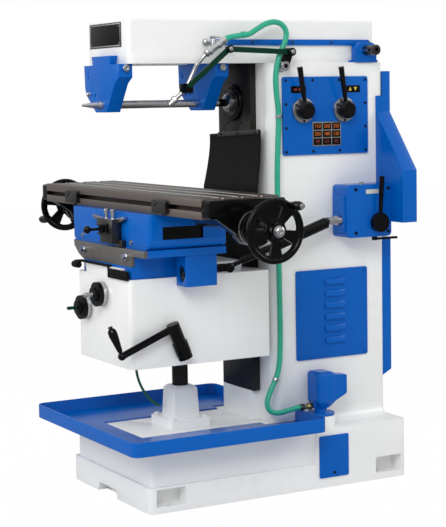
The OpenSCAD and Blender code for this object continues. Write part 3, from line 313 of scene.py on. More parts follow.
class SharedEffects:
    """Shader node groups that several finishes use, each built once."""

    @staticmethod
    @cache
    def cast_skin() -> Tree:
        """Height of painted cast iron: long filler ripples under a fine orange peel."""
        w, given, out = Wiring.group("cast_skin", {"Ripple": 1.0, "Peel": 0.1}, "Height")
        where = w.place()
        ripple = w.product(w.noise(where, 9.0, 1.0), given["Ripple"])
        peel = w.product(w.noise(where, 420.0), given["Peel"])
        w.link(w.math("ADD", ripple, peel), out)
        return w.tree

    @staticmethod
    @cache
    def handling() -> Tree:
        """Mask of faint grease and dust: soft clouds broken by finer smears."""
        w, given, out = Wiring.group("handling", {"Amount": 1.0}, "Mask")
        where = w.place()
        clouds = w.spread(w.noise(where, 5.0, 4.0, 0.6), 0.42, 0.72)
        smears = w.spread(w.noise(where, 38.0, 3.0), 0.35, 0.75)
        w.link(w.product(clouds, smears, given["Amount"]), out)
        return w.tree

    @staticmethod
    @cache
    def edge_wear() -> Tree:
        """Mask of rubbed edges: where a rounded normal leaves the true one, broken up by noise."""
        w, given, out = Wiring.group("edge_wear", {"Width": 0.002, "Amount": 0.5}, "Mask")
        rounded = w.add("ShaderNodeBevel", samples=4)
        w.link(given["Width"], rounded.inputs["Radius"])
        agreement = w.add("ShaderNodeVectorMath", operation="DOT_PRODUCT")
        w.link(rounded.outputs["Normal"], agreement.inputs[0])
        w.link(w.add("ShaderNodeNewGeometry").outputs["Normal"], agreement.inputs[1])
        edge = w.spread(agreement.outputs["Value"], 0.985, 0.86)
        broken = w.spread(w.noise(w.place(), 60.0, 4.0, 0.6), 0.40, 0.62)
        w.link(w.product(edge, broken, given["Amount"]), out)
        return w.tree

    @staticmethod
    @cache
    def tool_marks() -> Tree:
        """Height of turned or ground metal: fine noise drawn out by the Stretch vector."""
        w, given, out = Wiring.group("tool_marks", {"Stretch": (900.0, 60.0, 900.0)}, "Height")
        drawn = w.add("ShaderNodeVectorMath", operation="MULTIPLY")
        w.link(w.place(), drawn.inputs[0])
        w.link(given["Stretch"], drawn.inputs[1])
        w.link(w.noise(drawn.outputs[0], 1.0, 3.0, 0.6), out)
        return w.tree


# Finishes


@dataclass(frozen=True)
class Coating:
    """The base of every finish: a named material round one Principled shader."""

    name: str

    def make(self) -> bpy.types.Material:
        """Builds the material."""
        material = bpy.data.materials.new(self.name)
        material.use_nodes = True
        self.wire(Wiring(material.node_tree), material.node_tree.nodes["Principled BSDF"].inputs)
        return material

    def wire(self, w: Wiring, shader: bpy.types.NodeInputs) -> None:
        """Wires the shader's inputs, in each finish's own way."""
        raise NotImplementedError


@dataclass(frozen=True)
class Enamel(Coating):
    """Sprayed enamel on a filled casting or sheet."""

    colour: Colour
    shade: Colour
    roughness: float = 0.28
    dulling: float = 0.22
    coat: float = 0.35
    coat_roughness: float = 0.08
    ripple: float = 0.6
    peel: float = 0.05
    skin_strength: float = 0.25
    skin_depth: float = 0.002
    wear: float = 0.0
    wear_colour: Colour = (0.30, 0.30, 0.31)
    grease: float = 0.35
    specular: float = 0.5

    def wire(self, w: Wiring, shader: bpy.types.NodeInputs) -> None:
        """Wires the paint with its grease, its worn edges and its skin.

        Args:
            w: the material's wiring.
            shader: the shader's inputs.
        """
        shader["Specular IOR Level"].default_value = self.specular
        shader["Coat Weight"].default_value = self.coat
        shader["Coat Roughness"].default_value = self.coat_roughness
        grease = w.effect(SharedEffects.handling(), Amount=self.grease)
        colour = w.mix(grease, self.colour, self.shade)
        if self.wear:
            edge = w.effect(SharedEffects.edge_wear(), Amount=self.wear)
            colour = w.mix(edge, colour, self.wear_colour)
        w.link(colour, shader["Base Color"])
        dulled = w.spread(grease, to_low=self.roughness, to_high=self.roughness + self.dulling)
        w.link(dulled, shader["Roughness"])
        skin = w.effect(SharedEffects.cast_skin(), Ripple=self.ripple, Peel=self.peel)
        w.link(w.bump(skin, self.skin_strength, self.skin_depth), shader["Normal"])


@dataclass(frozen=True)
class BareMetal(Coating):
    """Turned, ground or scraped metal with a film of oil."""

    colour: Colour
    stain: Colour
    roughness: float = 0.30
    polish: float = 0.06
    scuff: float = 0.08
    dulling: float = 0.2
    stretch: Point = (700.0, 700.0, 700.0)
    marks: float = 0.12
    mark_depth: float = 0.0004
    metallic: float = 1.0
    stains: float = 0.5
    specular: float = 0.5

    def wire(self, w: Wiring, shader: bpy.types.NodeInputs) -> None:
        """Wires the metal with its oil film and its tool marks.

        Args:
            w: the material's wiring.
            shader: the shader's inputs.
        """
        shader["Metallic"].default_value = self.metallic
        shader["Specular IOR Level"].default_value = self.specular
        film = w.effect(SharedEffects.handling(), Amount=self.stains)
        marks = w.effect(SharedEffects.tool_marks(), Stretch=self.stretch)
        w.link(w.mix(film, self.colour, self.stain), shader["Base Color"])
        rough = w.spread(marks, 0.3, 0.7, self.roughness - self.polish, self.roughness + self.scuff)
        w.link(w.math("ADD", rough, w.product(film, self.dulling)), shader["Roughness"])
        w.link(w.bump(marks, self.marks, self.mark_depth), shader["Normal"])


@dataclass(frozen=True)
class TableIron(Coating):
    """The table's iron: a ground face, darker sides and red lacquer in the slots. Sizes are in metres."""

    face: Colour
    side: Colour
    lacquer: Colour
    # painted highlight: the light colour of the slots' lips stands in for the glint of light along their
    # edges
    lip_highlight: Colour
    shadow: Colour = (0.016, 0.008, 0.006)
    top: float = 1.056
    top_fade: tuple[float, float] = (0.0012, 0.0004)
    slots: tuple[float, ...] = (-0.341, -0.271, -0.201)
    slot_half: float = 0.0098
    lip_depth: float = 0.0042
    trough_depth: float = 0.0102
    trough_x: float = 0.588
    trough_half: float = 0.0105
    trough_front: float = -0.4055
    dog_slot_z: float = 1.022
    dog_slot_half: float = 0.0115
    dog_slot_y: float = -0.3995
    dog_slot_reach: float = 0.01
    film: float = 0.8
    roughness: tuple[float, float] = (0.30, 0.46)
    dulling: float = 0.18
    stretch: Point = (40.0, 900.0, 900.0)
    marks: float = 0.10
    mark_depth: float = 0.0005
    specular: float = 0.3

    def wire(self, w: Wiring, shader: bpy.types.NodeInputs) -> None:
        """Wires the ground top, the painted highlight on the slots' lips, the lacquered slots and troughs,
        and the painted shadow in the trip dogs' slot.

        Args:
            w: the material's wiring.
            shader: the shader's inputs.
        """
        axes = w.add("ShaderNodeSeparateXYZ")
        w.link(w.place(), axes.inputs[0])
        x, y, z = axes.outputs
        on_top = w.spread(z, *(self.top - depth for depth in self.top_fade))
        over_slot = w.near(y, self.slots[0], self.slot_half)
        for middle in self.slots[1:]:
            over_slot = w.math("MAXIMUM", over_slot, w.near(y, middle, self.slot_half))
        sunk = w.math("LESS_THAN", z, self.top - self.lip_depth)
        # painted highlight: mask of the slots' lips, which take a light colour in place of the glint along
        # their edges
        painted_lip_highlights = w.product(over_slot, w.math("GREATER_THAN", z, self.top - self.lip_depth))
        trough = w.product(w.near(w.math("ABSOLUTE", x), self.trough_x, self.trough_half), sunk,
                           w.math("GREATER_THAN", y, self.trough_front),
                           w.math("GREATER_THAN", z, self.top - self.trough_depth))
        lacquered = w.math("MAXIMUM", w.product(over_slot, sunk), trough)
        dog_slot = w.product(w.near(z, self.dog_slot_z, self.dog_slot_half),
                             w.near(y, self.dog_slot_y, self.dog_slot_reach))
        film = w.effect(SharedEffects.handling(), Amount=self.film)
        marks = w.effect(SharedEffects.tool_marks(), Stretch=self.stretch)
        ground = w.mix(film, self.face, self.side)
        bare = w.mix(painted_lip_highlights, w.mix(on_top, self.side, ground), self.lip_highlight)
        w.link(w.mix(dog_slot, w.mix(lacquered, bare, self.lacquer), self.shadow), shader["Base Color"])
        dulled = w.spread(w.math("MAXIMUM", lacquered, painted_lip_highlights), to_low=1.0, to_high=0.4)
        w.link(w.product(w.spread(on_top, to_low=0.4, to_high=0.75), dulled), shader["Metallic"])
        shader["Specular IOR Level"].default_value = self.specular
        rough = w.spread(marks, 0.3, 0.7, *self.roughness)
        w.link(w.math("ADD", rough, w.product(film, self.dulling)), shader["Roughness"])
        w.link(w.bump(marks, self.marks, self.mark_depth), shader["Normal"])


@dataclass(frozen=True)
class Moulded(Coating):
    """Rubber, hose or moulded plastic."""

    colour: Colour
    shade: Colour
    roughness: float = 0.4
    dulling: float = 0.18
    grain: float = 260.0
    bump: float = 0.08
    grain_depth: float = 0.0008
    coat: float = 0.0
    film: float = 0.6
    specular: float = 0.5

    def wire(self, w: Wiring, shader: bpy.types.NodeInputs) -> None:
        """Wires the moulding with its film of dust and its grain.

        Args:
            w: the material's wiring.
            shader: the shader's inputs.
        """
        shader["Coat Weight"].default_value = self.coat
        shader["Specular IOR Level"].default_value = self.specular
        film = w.effect(SharedEffects.handling(), Amount=self.film)
        w.link(w.mix(film, self.colour, self.shade), shader["Base Color"])
        dulled = w.spread(film, to_low=self.roughness, to_high=self.roughness + self.dulling)
        w.link(dulled, shader["Roughness"])
        w.link(w.bump(w.noise(w.place(), self.grain), self.bump, self.grain_depth), shader["Normal"])


class Finish(Enum):
    """Every finish on the machine; paint() gives its material, made on first use."""

    WHITE = Enamel("white_enamel_finish", srgb(241, 242, 241), srgb(224, 224, 219), roughness=0.30,
                   coat=0.2)
    BLUE = Enamel("blue_enamel_finish", srgb(0, 94, 186), srgb(0, 76, 156), roughness=0.22, coat=0.0,
                  specular=0.22)
    BLACK = Enamel("black_enamel_finish", srgb(6, 7, 8), srgb(14, 14, 15), roughness=0.18, coat=0.0,
                   wear=0.14, specular=0.16)
    GREEN = Enamel("dark_green_enamel_finish", srgb(3, 50, 33), srgb(10, 36, 26), roughness=0.22, coat=0.0,
                   wear=0.2, specular=0.2)
    STEEL = BareMetal("bright_steel_finish", srgb(196, 197, 200), srgb(150, 146, 140), roughness=0.24)
    TURNED = BareMetal("turned_steel_finish", srgb(200, 200, 203), srgb(150, 146, 140), roughness=0.28,
                       stretch=(900.0, 60.0, 60.0))
    DARK_STEEL = BareMetal("oiled_dark_steel_finish", srgb(78, 77, 76), srgb(44, 42, 40), roughness=0.32)
    DISC = BareMetal("turned_disc_finish", srgb(182, 183, 186), srgb(126, 124, 121), roughness=0.30)
    DARK_IRON = BareMetal("scraped_way_iron_finish", srgb(44, 43, 41), srgb(24, 23, 21), roughness=0.36,
                          stretch=(120.0, 120.0, 700.0), metallic=0.5, specular=0.15)
    GREY_IRON = BareMetal("grey_iron_finish", srgb(112, 110, 107), srgb(80, 76, 72), roughness=0.45,
                          metallic=0.5)
    TABLE = TableIron("table_iron_finish", srgb(80, 75, 73), srgb(104, 95, 90), srgb(104, 40, 32),
                      srgb(168, 165, 160))
    BRONZE = BareMetal("bronze_finish", srgb(140, 126, 90), srgb(86, 76, 54), roughness=0.34)
    BARE_PLATE = BareMetal("bare_plate_finish", srgb(172, 173, 172), srgb(138, 136, 130), roughness=0.38,
                           stains=0.3)
    HOSE = Moulded("green_hose_finish", srgb(48, 170, 138), srgb(32, 126, 100), roughness=0.32, grain=90.0,
                   bump=0.04, coat=0.15, specular=0.35)
    DRAIN = Moulded("dark_green_hose_finish", srgb(16, 92, 58), srgb(12, 64, 42), roughness=0.36, grain=90.0,
                    bump=0.04, specular=0.3)
    MAT = Moulded("black_mat_finish", srgb(14, 16, 17), srgb(22, 23, 24), roughness=0.5, grain=340.0,
                  bump=0.12, specular=0.08)
    KNOB = Moulded("black_moulding_finish", srgb(6, 6, 7), srgb(14, 14, 15), roughness=0.16, grain=160.0,
                   bump=0.03, specular=0.22)
    PLATE = Enamel("black_plate_finish", srgb(8, 8, 9), srgb(16, 16, 18), roughness=0.2, coat=0.0, ripple=0.0,
                   specular=0.14)
    ORANGE = Enamel("orange_figures_finish", srgb(222, 112, 26), srgb(176, 84, 22), roughness=0.4, ripple=0.0)
    RED = Enamel("dark_red_figures_finish", srgb(132, 44, 22), srgb(100, 34, 20), roughness=0.4, ripple=0.0)
    YELLOW = Enamel("yellow_figures_finish", srgb(222, 190, 70), srgb(184, 152, 56), roughness=0.4,
                    ripple=0.0)
    PALE = Enamel("pale_marks_finish", srgb(206, 204, 196), srgb(170, 168, 160), roughness=0.5, ripple=0.0,
                  coat=0.0)

    def paint(self) -> bpy.types.Material:
        """Returns the finish's material."""
        return bpy.data.materials.get(self.value.name) or self.value.make()


# Meshes


def add_ring(mesh: bmesh.types.BMesh, middle: Vector, side: Vector, up: Vector, radius: float,
             sides: int) -> Row:
    """Adds a ring of points to a mesh.

    Args:
        mesh: the mesh.
        middle: the ring's middle.
        side: direction of its first point.
        up: direction a quarter turn further on.
        radius: its radius.
        sides: number of points.

    Returns:
        The points in order.
    """
    turns = (2 * math.pi * k / sides for k in range(sides))
    return [mesh.verts.new(middle + (side * math.cos(a) + up * math.sin(a)) * radius) for a in turns]


def join_rows(mesh: bmesh.types.BMesh, first: Row, second: Row, closed: bool = False) -> None:
    """Adds the faces between two rows of points, of which one may be a single point.

    Args:
        mesh: the mesh.
        first: one row.
        second: the other row.
        closed: join the rows' last points to their first ones too.
    """
    count = max(len(first), len(second))
    for k in range(count if closed else count - 1):
        n = (k + 1) % count
        corners = dict.fromkeys((first[k % len(first)], first[n % len(first)],
                                 second[n % len(second)], second[k % len(second)]))
        if len(corners) > 2:
            mesh.faces.new(list(corners))


def shade(data: Mesh, angle: float) -> None:
    """Shades a mesh smooth up to an angle in degrees."""
    data.shade_smooth()
    data.set_sharp_from_angle(angle=math.radians(angle))


def keep_modifiers(piece: Piece) -> None:
    """Replaces an object's mesh with what its modifiers make of it.

    Args:
        piece: the object.
    """
    made = plain_mesh(piece)
    piece.modifiers.clear()
    piece.data = made


def soften(piece: Piece, width: float) -> None:
    """Rounds a piece's sharp edges for good.

    Args:
        piece: the object, whose mesh is replaced.
        width: width of the rounding in metres.
    """
    bevel = piece.modifiers.new("edges", "BEVEL")
    bevel.limit_method, bevel.angle_limit = "ANGLE", math.radians(SHARP_EDGE)
    bevel.width, bevel.segments, bevel.use_clamp_overlap = width, EDGE_FACES, True
    keep_modifiers(piece)


def melt(piece: Piece, voxel: float) -> None:
    """Rounds a piece all over for good, as a sand casting is.

    Args:
        piece: the object, whose mesh is replaced.
        voxel: size of the cells that it is rebuilt from, in metres.
    """
    remesh = piece.modifiers.new("cells", "REMESH")
    remesh.mode, remesh.voxel_size = "VOXEL", voxel
    smooth = piece.modifiers.new("round", "SMOOTH")
    smooth.factor, smooth.iterations = 0.5, 10
    keep_modifiers(piece)


def place_piece(name: str, data: Mesh, body: str | None) -> Piece:
    """Makes a mesh a piece that rides on a body.

    Args:
        name: the piece's name.
        data: its mesh, in metres of the CAD frame.
        body: the CAD body that carries it, or None to leave it on no body.

    Returns:
        The piece.
    """
    piece = add_object(name, data)
    if body:
        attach(piece, body)
    log.info("piece %s on %s", name, body or "two bodies")
    return piece


class Maker:
    """Collects solids in one mesh, in millimetres of the CAD frame."""

    def __init__(self, name: str) -> None:
        """Starts an empty mesh with the finished piece's name."""
        self.name = name
        self.mesh = bmesh.new()

    def box(self, low: Point, high: Point) -> Maker:
        """Adds a box.

        Args:
            low: its lowest corner.
            high: its highest corner.

        Returns:
            The maker itself.
        """
        size = Matrix.Diagonal([*(b - a for a, b in zip(low, high)), 1.0])
        middle = Matrix.Translation([(a + b) / 2 for a, b in zip(low, high)])
        bmesh.ops.create_cube(self.mesh, size=1.0, matrix=middle @ size)
        return self

    def skin(self, rings: Sequence[Row], ring: bool = False) -> Maker:
        """Joins rings of points into a shell.

        Args:
            rings: the rings in order, where a single point closes an end.
            ring: join the last ring to the first, instead of closing both ends.

        Returns:
            The maker itself.
        """
        for first, second in zip(rings, [*rings[1:], rings[0]] if ring else rings[1:]):
            join_rows(self.mesh, first, second, closed=True)
        for end in () if ring else (rings[0], rings[-1]):
            if len(end) > 1:
                self.mesh.faces.new(end)
        return self

    def lathe(self, start: Point, axis: Point, profile: Profile, sides: int = 40,
              ring: bool = False) -> Maker:
        """Turns a profile about an axis.

        Args:
            start: the axis's first point.
            axis: the axis's direction.
            profile: (distance along the axis, radius) of each ring, with radius 0 to close an end.
            sides: faces round the axis.
            ring: join the last ring to the first, for a shape with a hole.

        Returns:
            The maker itself.
        """
        along = Vector(axis).normalized()
        side = along.orthogonal().normalized()
        rings: list[Row] = []
        for reach, radius in profile:
            middle = Vector(start) + along * reach
            if radius > 0:
                rings.append(add_ring(self.mesh, middle, side, along.cross(side), radius, sides))
            else:
                rings.append([self.mesh.verts.new(middle)])
        return self.skin(rings, ring)

    def band(self, middle: Point, axis: Point, inner: float, outer: float, width: float,
             sides: int = 40) -> Maker:
        """Adds a round band with chamfered rims.

        Args:
            middle: the band's middle.
            axis: its axis.
            inner: inner radius.
            outer: outer radius.
            width: width along the axis.
            sides: faces round the axis.

        Returns:
            The maker itself.
        """
        half, rim = width / 2, min(width / 5, (outer - inner) / 3)
        profile = ((-half, inner), (-half, outer - rim), (rim - half, outer),
                   (half - rim, outer), (half, outer - rim), (half, inner))
        return self.lathe(middle, axis, profile, sides, ring=True)

    def border(self, low: Point, high: Point, width: float) -> Maker:
        """Adds a flat border of four bars that faces along Y.

        Args:
            low: lowest corner of the border.
            high: highest corner.
            width: width of a bar.

        Returns:
            The maker itself.
        """
        (x0, y0, z0), (x1, y1, z1) = low, high
        for left in (x0, x1 - width):
            self.box((left, y0, z0), (left + width, y1, z1))
        for foot in (z0, z1 - width):
            self.box((x0 + width, y0, foot), (x1 - width, y1, foot + width))
        return self

    def prism(self, corners: Sequence[Point], offset: Point) -> Maker:
        """Adds a flat outline drawn out by an offset.

        Args:
            corners: the outline's corners in order.
            offset: how far, and which way, it is drawn out.

        Returns:
            The maker itself.
        """
        near = [self.mesh.verts.new(c) for c in corners]
        far = [self.mesh.verts.new(Vector(c) + Vector(offset)) for c in corners]
        self.mesh.faces.new(near)
        self.mesh.faces.new(far)
        join_rows(self.mesh, near, far, closed=True)
        return self

    def figures(self, text: str, place: Point, size: float, depth: float) -> Maker:
        """Adds plain figures on a face that looks along +X.

        Args:
            text: the figures.
            place: their middle.
            size: their height.
            depth: how far they stand out.

        Returns:
            The maker itself.
        """
        curve = bpy.data.curves.new("figures", "FONT")
        curve.body, curve.size, curve.extrude = text, size, depth
        curve.align_x, curve.align_y, curve.resolution_u = "CENTER", "CENTER", 3
        holder = add_object("figures", curve)
        flat = plain_mesh(holder)
        bpy.data.objects.remove(holder)
        facing_right = Matrix(((0, 0, 1, 0), (1, 0, 0, 0), (0, 1, 0, 0), (0, 0, 0, 1)))
        flat.transform(Matrix.Translation(place) @ facing_right)
        self.mesh.from_mesh(flat)
        bpy.data.meshes.remove(flat)
        bmesh.ops.remove_doubles(self.mesh, verts=self.mesh.verts, dist=1e-4)
        return self

    def data(self, bevel: float = 0.0, smooth: float = SMOOTH_SMALL) -> Mesh:
        """Turns the solids into a mesh in metres.

        Args:
            bevel: width of rounded edges in millimetres.
            smooth: steepest edge in degrees that is shaded smooth.

        Returns:
            The mesh.
        """
        bmesh.ops.recalc_face_normals(self.mesh, faces=self.mesh.faces)
        data = bpy.data.meshes.new(self.name)
        self.mesh.to_mesh(data)
        self.mesh.free()
        data.transform(Matrix.Scale(MM, 4))
        if bevel:
            holder = add_object(self.name, data)
            soften(holder, bevel * MM)
            data = holder.data
            bpy.data.objects.remove(holder)
        shade(data, smooth)
        return data

    def done(self, finish: Finish, body: str | None, bevel: float = 0.0,
             smooth: float = SMOOTH_SMALL) -> Piece:
        """Turns the solids into a finished piece that rides on a body.

        Args:
            finish: the piece's finish.
            body: the CAD body that carries it, or None to leave it on no body.
            bevel: width of its rounded edges in millimetres.
            smooth: steepest edge in degrees that is shaded smooth.

        Returns:
            The piece.
        """
        data = self.data(bevel, smooth)
        data.materials.clear()
        data.materials.append(finish.paint())
        return place_piece(self.name, data, body)


# Castings


Zone = tuple[Finish, Callable[[Vector], bool]]


@dataclass
class Casting:
    """A CAD node shown with softened edges and a finish, and other finishes in named zones of it."""

    node: str
    finish: Finish
    edge: float = 0.0
    zones: tuple[Zone, ...] = ()
    cell: float = 0.0
    cuts: tuple[float, ...] = ()

    def dress(self, frame: dict) -> None:
        """Gives the node its finish, through a copy with rounded edges where edge is set.
        """
        source = frame["nodes"][self.node]
        log.info("casting %s", self.node)
        if not self.edge:
            source.data.materials.clear()
            source.data.materials.append(self.finish.paint())
            return
        piece = self.copy(source.data)
        if self.cell:
            melt(piece, self.cell * MM)
        else:
            soften(piece, self.edge * MM)
        if self.cuts:
            self.cut(piece.data)
        shade(piece.data, SMOOTH_CAST)
        self.paint(piece.data)
        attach(piece, source["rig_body"])
        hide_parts(self.node)

    def copy(self, data: Mesh) -> Piece:
        """Copies a CAD mesh with its loose triangles merged into flat faces.

        Args:
            data: the node's mesh.

        Returns:
            The copy.
        """
        shape = bmesh.new()
        shape.from_mesh(data)
        bmesh.ops.remove_doubles(shape, verts=shape.verts, dist=2e-6)
        bmesh.ops.dissolve_limit(shape, angle_limit=math.radians(0.4), verts=shape.verts, edges=shape.edges)
        merged = bpy.data.meshes.new(f"{self.node}_shell")
        shape.to_mesh(merged)
        shape.free()
        return add_object(f"{self.node}_shell", merged)

    def cut(self, data: Mesh) -> None:
        """Divides a mesh's faces where a zone begins or ends along Y.

        Args:
            data: the mesh.
        """
        shape = bmesh.new()
        shape.from_mesh(data)
        for y in self.cuts:
            whole = [*shape.verts, *shape.edges, *shape.faces]
            bmesh.ops.bisect_plane(shape, geom=whole, plane_co=mm(0, y, 0), plane_no=TO_REAR)
        shape.to_mesh(data)
        shape.free()

    def paint(self, data: Mesh) -> None:
        """Gives a mesh its finish and those of its zones.

        Args:
            data: the mesh.
        """
        data.materials.clear()
        for finish in (self.finish, *(other for other, _ in self.zones)):
            data.materials.append(finish.paint())
        for face in data.polygons:
            middle = face.center / MM
            hits = (i for i, (_, test) in enumerate(self.zones, 1) if test(middle))
            face.material_index = next(hits, 0)


FAR = 5000.0


def zone(finish: Finish, low: Point = (-FAR, -FAR, -FAR), high: Point = (FAR, FAR, FAR)) -> Zone:
    """Gives a finish to what lies between two corners.

    Args:
        finish: the zone's finish.
        low: its lowest corner in millimetres.
        high: its highest corner.

    Returns:
        The finish and a test for a point.
    """
    return finish, lambda p: all(a <= v <= b for a, v, b in zip(low, p, high))


# Black band painted on the arbor between these Y, just in front of its collar
ARBOR_DARK = (-8.0, 21.0)
LEVER_DISCS = zone(Finish.DISC, (204.2, 160, 1260), (FAR, 430, 1370))
PUMP_FITTING = zone(Finish.BRONZE, (225, 0, 265), (283, 209, 303))
# painted shade: black enamel inside the saddle's side recess stands in for the shade that falls there
SADDLE_RECESS_SHADE = zone(Finish.BLACK, (292.2, -392, 905), (304.6, -238, 949))
NOSE_RING = zone(Finish.BLACK, (-70, 0, 1280), (70, 56.5, 1412))
WHEEL_HUBS = (zone(Finish.STEEL, (869.5, -FAR, 0)), zone(Finish.STEEL, (-FAR, -FAR, 0), (-869.5, FAR, FAR)))
TRIP_PINS = zone(Finish.STEEL, (-FAR, -FAR, 960.5))
PIPE_CLAMP = zone(Finish.BLACK, (187, -258, 1380), (238, -230, 1413))
ARBOR_BLACK_BAND = zone(Finish.BLACK, (-20, ARBOR_DARK[0], 0), (20, ARBOR_DARK[1], FAR))
PINION_END = zone(Finish.DARK_STEEL, (229, 0, 0))
COVER_SCREWS = zone(Finish.BLUE, (196, 150, 300), (206, 500, 900))
PEDESTAL_BOLTS = zone(Finish.WHITE, (-200, -450, 200), (200, 0, 300))
SCREW_THREAD = zone(Finish.STEEL, (-655, -FAR, 0), (655, FAR, FAR))
SCREW_ENDS = (zone(Finish.STEEL, (815, -FAR, 0)), zone(Finish.STEEL, (-FAR, -FAR, 0), (-815, FAR, FAR)))
CROSS_DIAL_FACE = zone(Finish.STEEL, (-FAR, -FAR, 0), (FAR, -511, FAR))
LIFT_DIAL_FACE = zone(Finish.GREEN, (-FAR, -FAR, 0), (FAR, -511, FAR))

CASTINGS = (
    Casting("base", Finish.WHITE, 8.0),
    Casting("column", Finish.WHITE, 8.0),
    Casting("knee", Finish.WHITE, 12.0),
    Casting("overarm", Finish.WHITE, 8.0),
    Casting("screw_pedestal", Finish.WHITE, 5.0),
    Casting("drip_tray", Finish.BLUE, 1.5),
    Casting("base_door", Finish.BLUE, 1.0),
    Casting("control_panel", Finish.BLUE, 1.5, (LEVER_DISCS,)),
    Casting("louvre_cover", Finish.BLUE, 0.8),
    Casting("belt_guard", Finish.BLUE, 2.0),
    Casting("rear_cover", Finish.BLUE, 2.0),
    Casting("feed_gearbox", Finish.BLUE, 3.0),
    Casting("pump", Finish.BLUE, 1.5, (PUMP_FITTING,), cell=2.0),
    Casting("pinion_bracket", Finish.BLUE, 2.0),
    Casting("overarm_rail", Finish.BLUE, 1.0),
    Casting("front_yoke", Finish.BLUE, 2.5),
    Casting("rear_yoke", Finish.BLUE, 2.5),
    Casting("saddle", Finish.BLUE, 4.0, (SADDLE_RECESS_SHADE,)),
    Casting("feed_block", Finish.BLUE, 2.5),
    Casting("swivel_plate", Finish.GREY_IRON, 1.5),
    Casting("table", Finish.TABLE, 2.0),
    Casting("column_ways", Finish.DARK_IRON, 1.0, (NOSE_RING,)),
    Casting("end_brackets", Finish.BLACK, 2.5),
    Casting("handwheel_right", Finish.BLACK, 1.2, WHEEL_HUBS[:1]),
    Casting("handwheel_left", Finish.BLACK, 1.2, WHEEL_HUBS[1:]),
    Casting("crank", Finish.BLACK, 1.2),
    Casting("crank_peg", Finish.BLACK, 1.2),
    Casting("crank_grip", Finish.KNOB),
    Casting("trip_block", Finish.DARK_STEEL, 1.2, (TRIP_PINS,)),
    Casting("trip_lever", Finish.KNOB),
    Casting("feed_tube", Finish.BLACK, 1.0),
    Casting("feed_rod", Finish.BLACK, 0.8),
    Casting("feed_output", Finish.STEEL, 0.8),
    Casting("feed_fork", Finish.BLACK, 0.8),
    Casting("speed_lever_front", Finish.KNOB),
    Casting("speed_lever_rear", Finish.KNOB),
    Casting("feed_lever", Finish.KNOB),
    Casting("feed_clutch", Finish.KNOB),
    Casting("arm_lower", Finish.GREEN, 0.8),
    Casting("arm_upper", Finish.GREEN, 0.8),
    Casting("coolant_pipe", Finish.TURNED, 0.5, (PIPE_CLAMP,)),
    Casting("coolant_post", Finish.BLACK, 1.0),
    Casting("spindle", Finish.DARK_STEEL, 0.8),
    Casting("arbor", Finish.TURNED, 0.6, (ARBOR_BLACK_BAND,), cuts=ARBOR_DARK),
    Casting("pinion_shaft", Finish.STEEL, 2.5, (PINION_END,)),
    Casting("frame_screws", Finish.BLACK, 0.3, (COVER_SCREWS, PEDESTAL_BOLTS)),
    Casting("saddle_bolts", Finish.STEEL),
    Casting("trip_dog_left", Finish.DARK_STEEL, 1.0),
    Casting("trip_dog_right", Finish.DARK_STEEL, 1.0),
    Casting("table_screw", Finish.BLACK, 0.8, (SCREW_THREAD, *SCREW_ENDS)),
    Casting("wheel_grip_right", Finish.KNOB),
    Casting("wheel_grip_left", Finish.KNOB),
    Casting("cross_dial", Finish.BLACK, 1.5, (CROSS_DIAL_FACE,)),
    Casting("lift_dial", Finish.BLACK, 1.5, (LIFT_DIAL_FACE,)),
    Casting("lift_screw", Finish.DARK_IRON),
    Casting("lift_nut", Finish.BRONZE),
    Casting("knee_wiper", Finish.MAT, 0.8),
)


# Repeated shapes


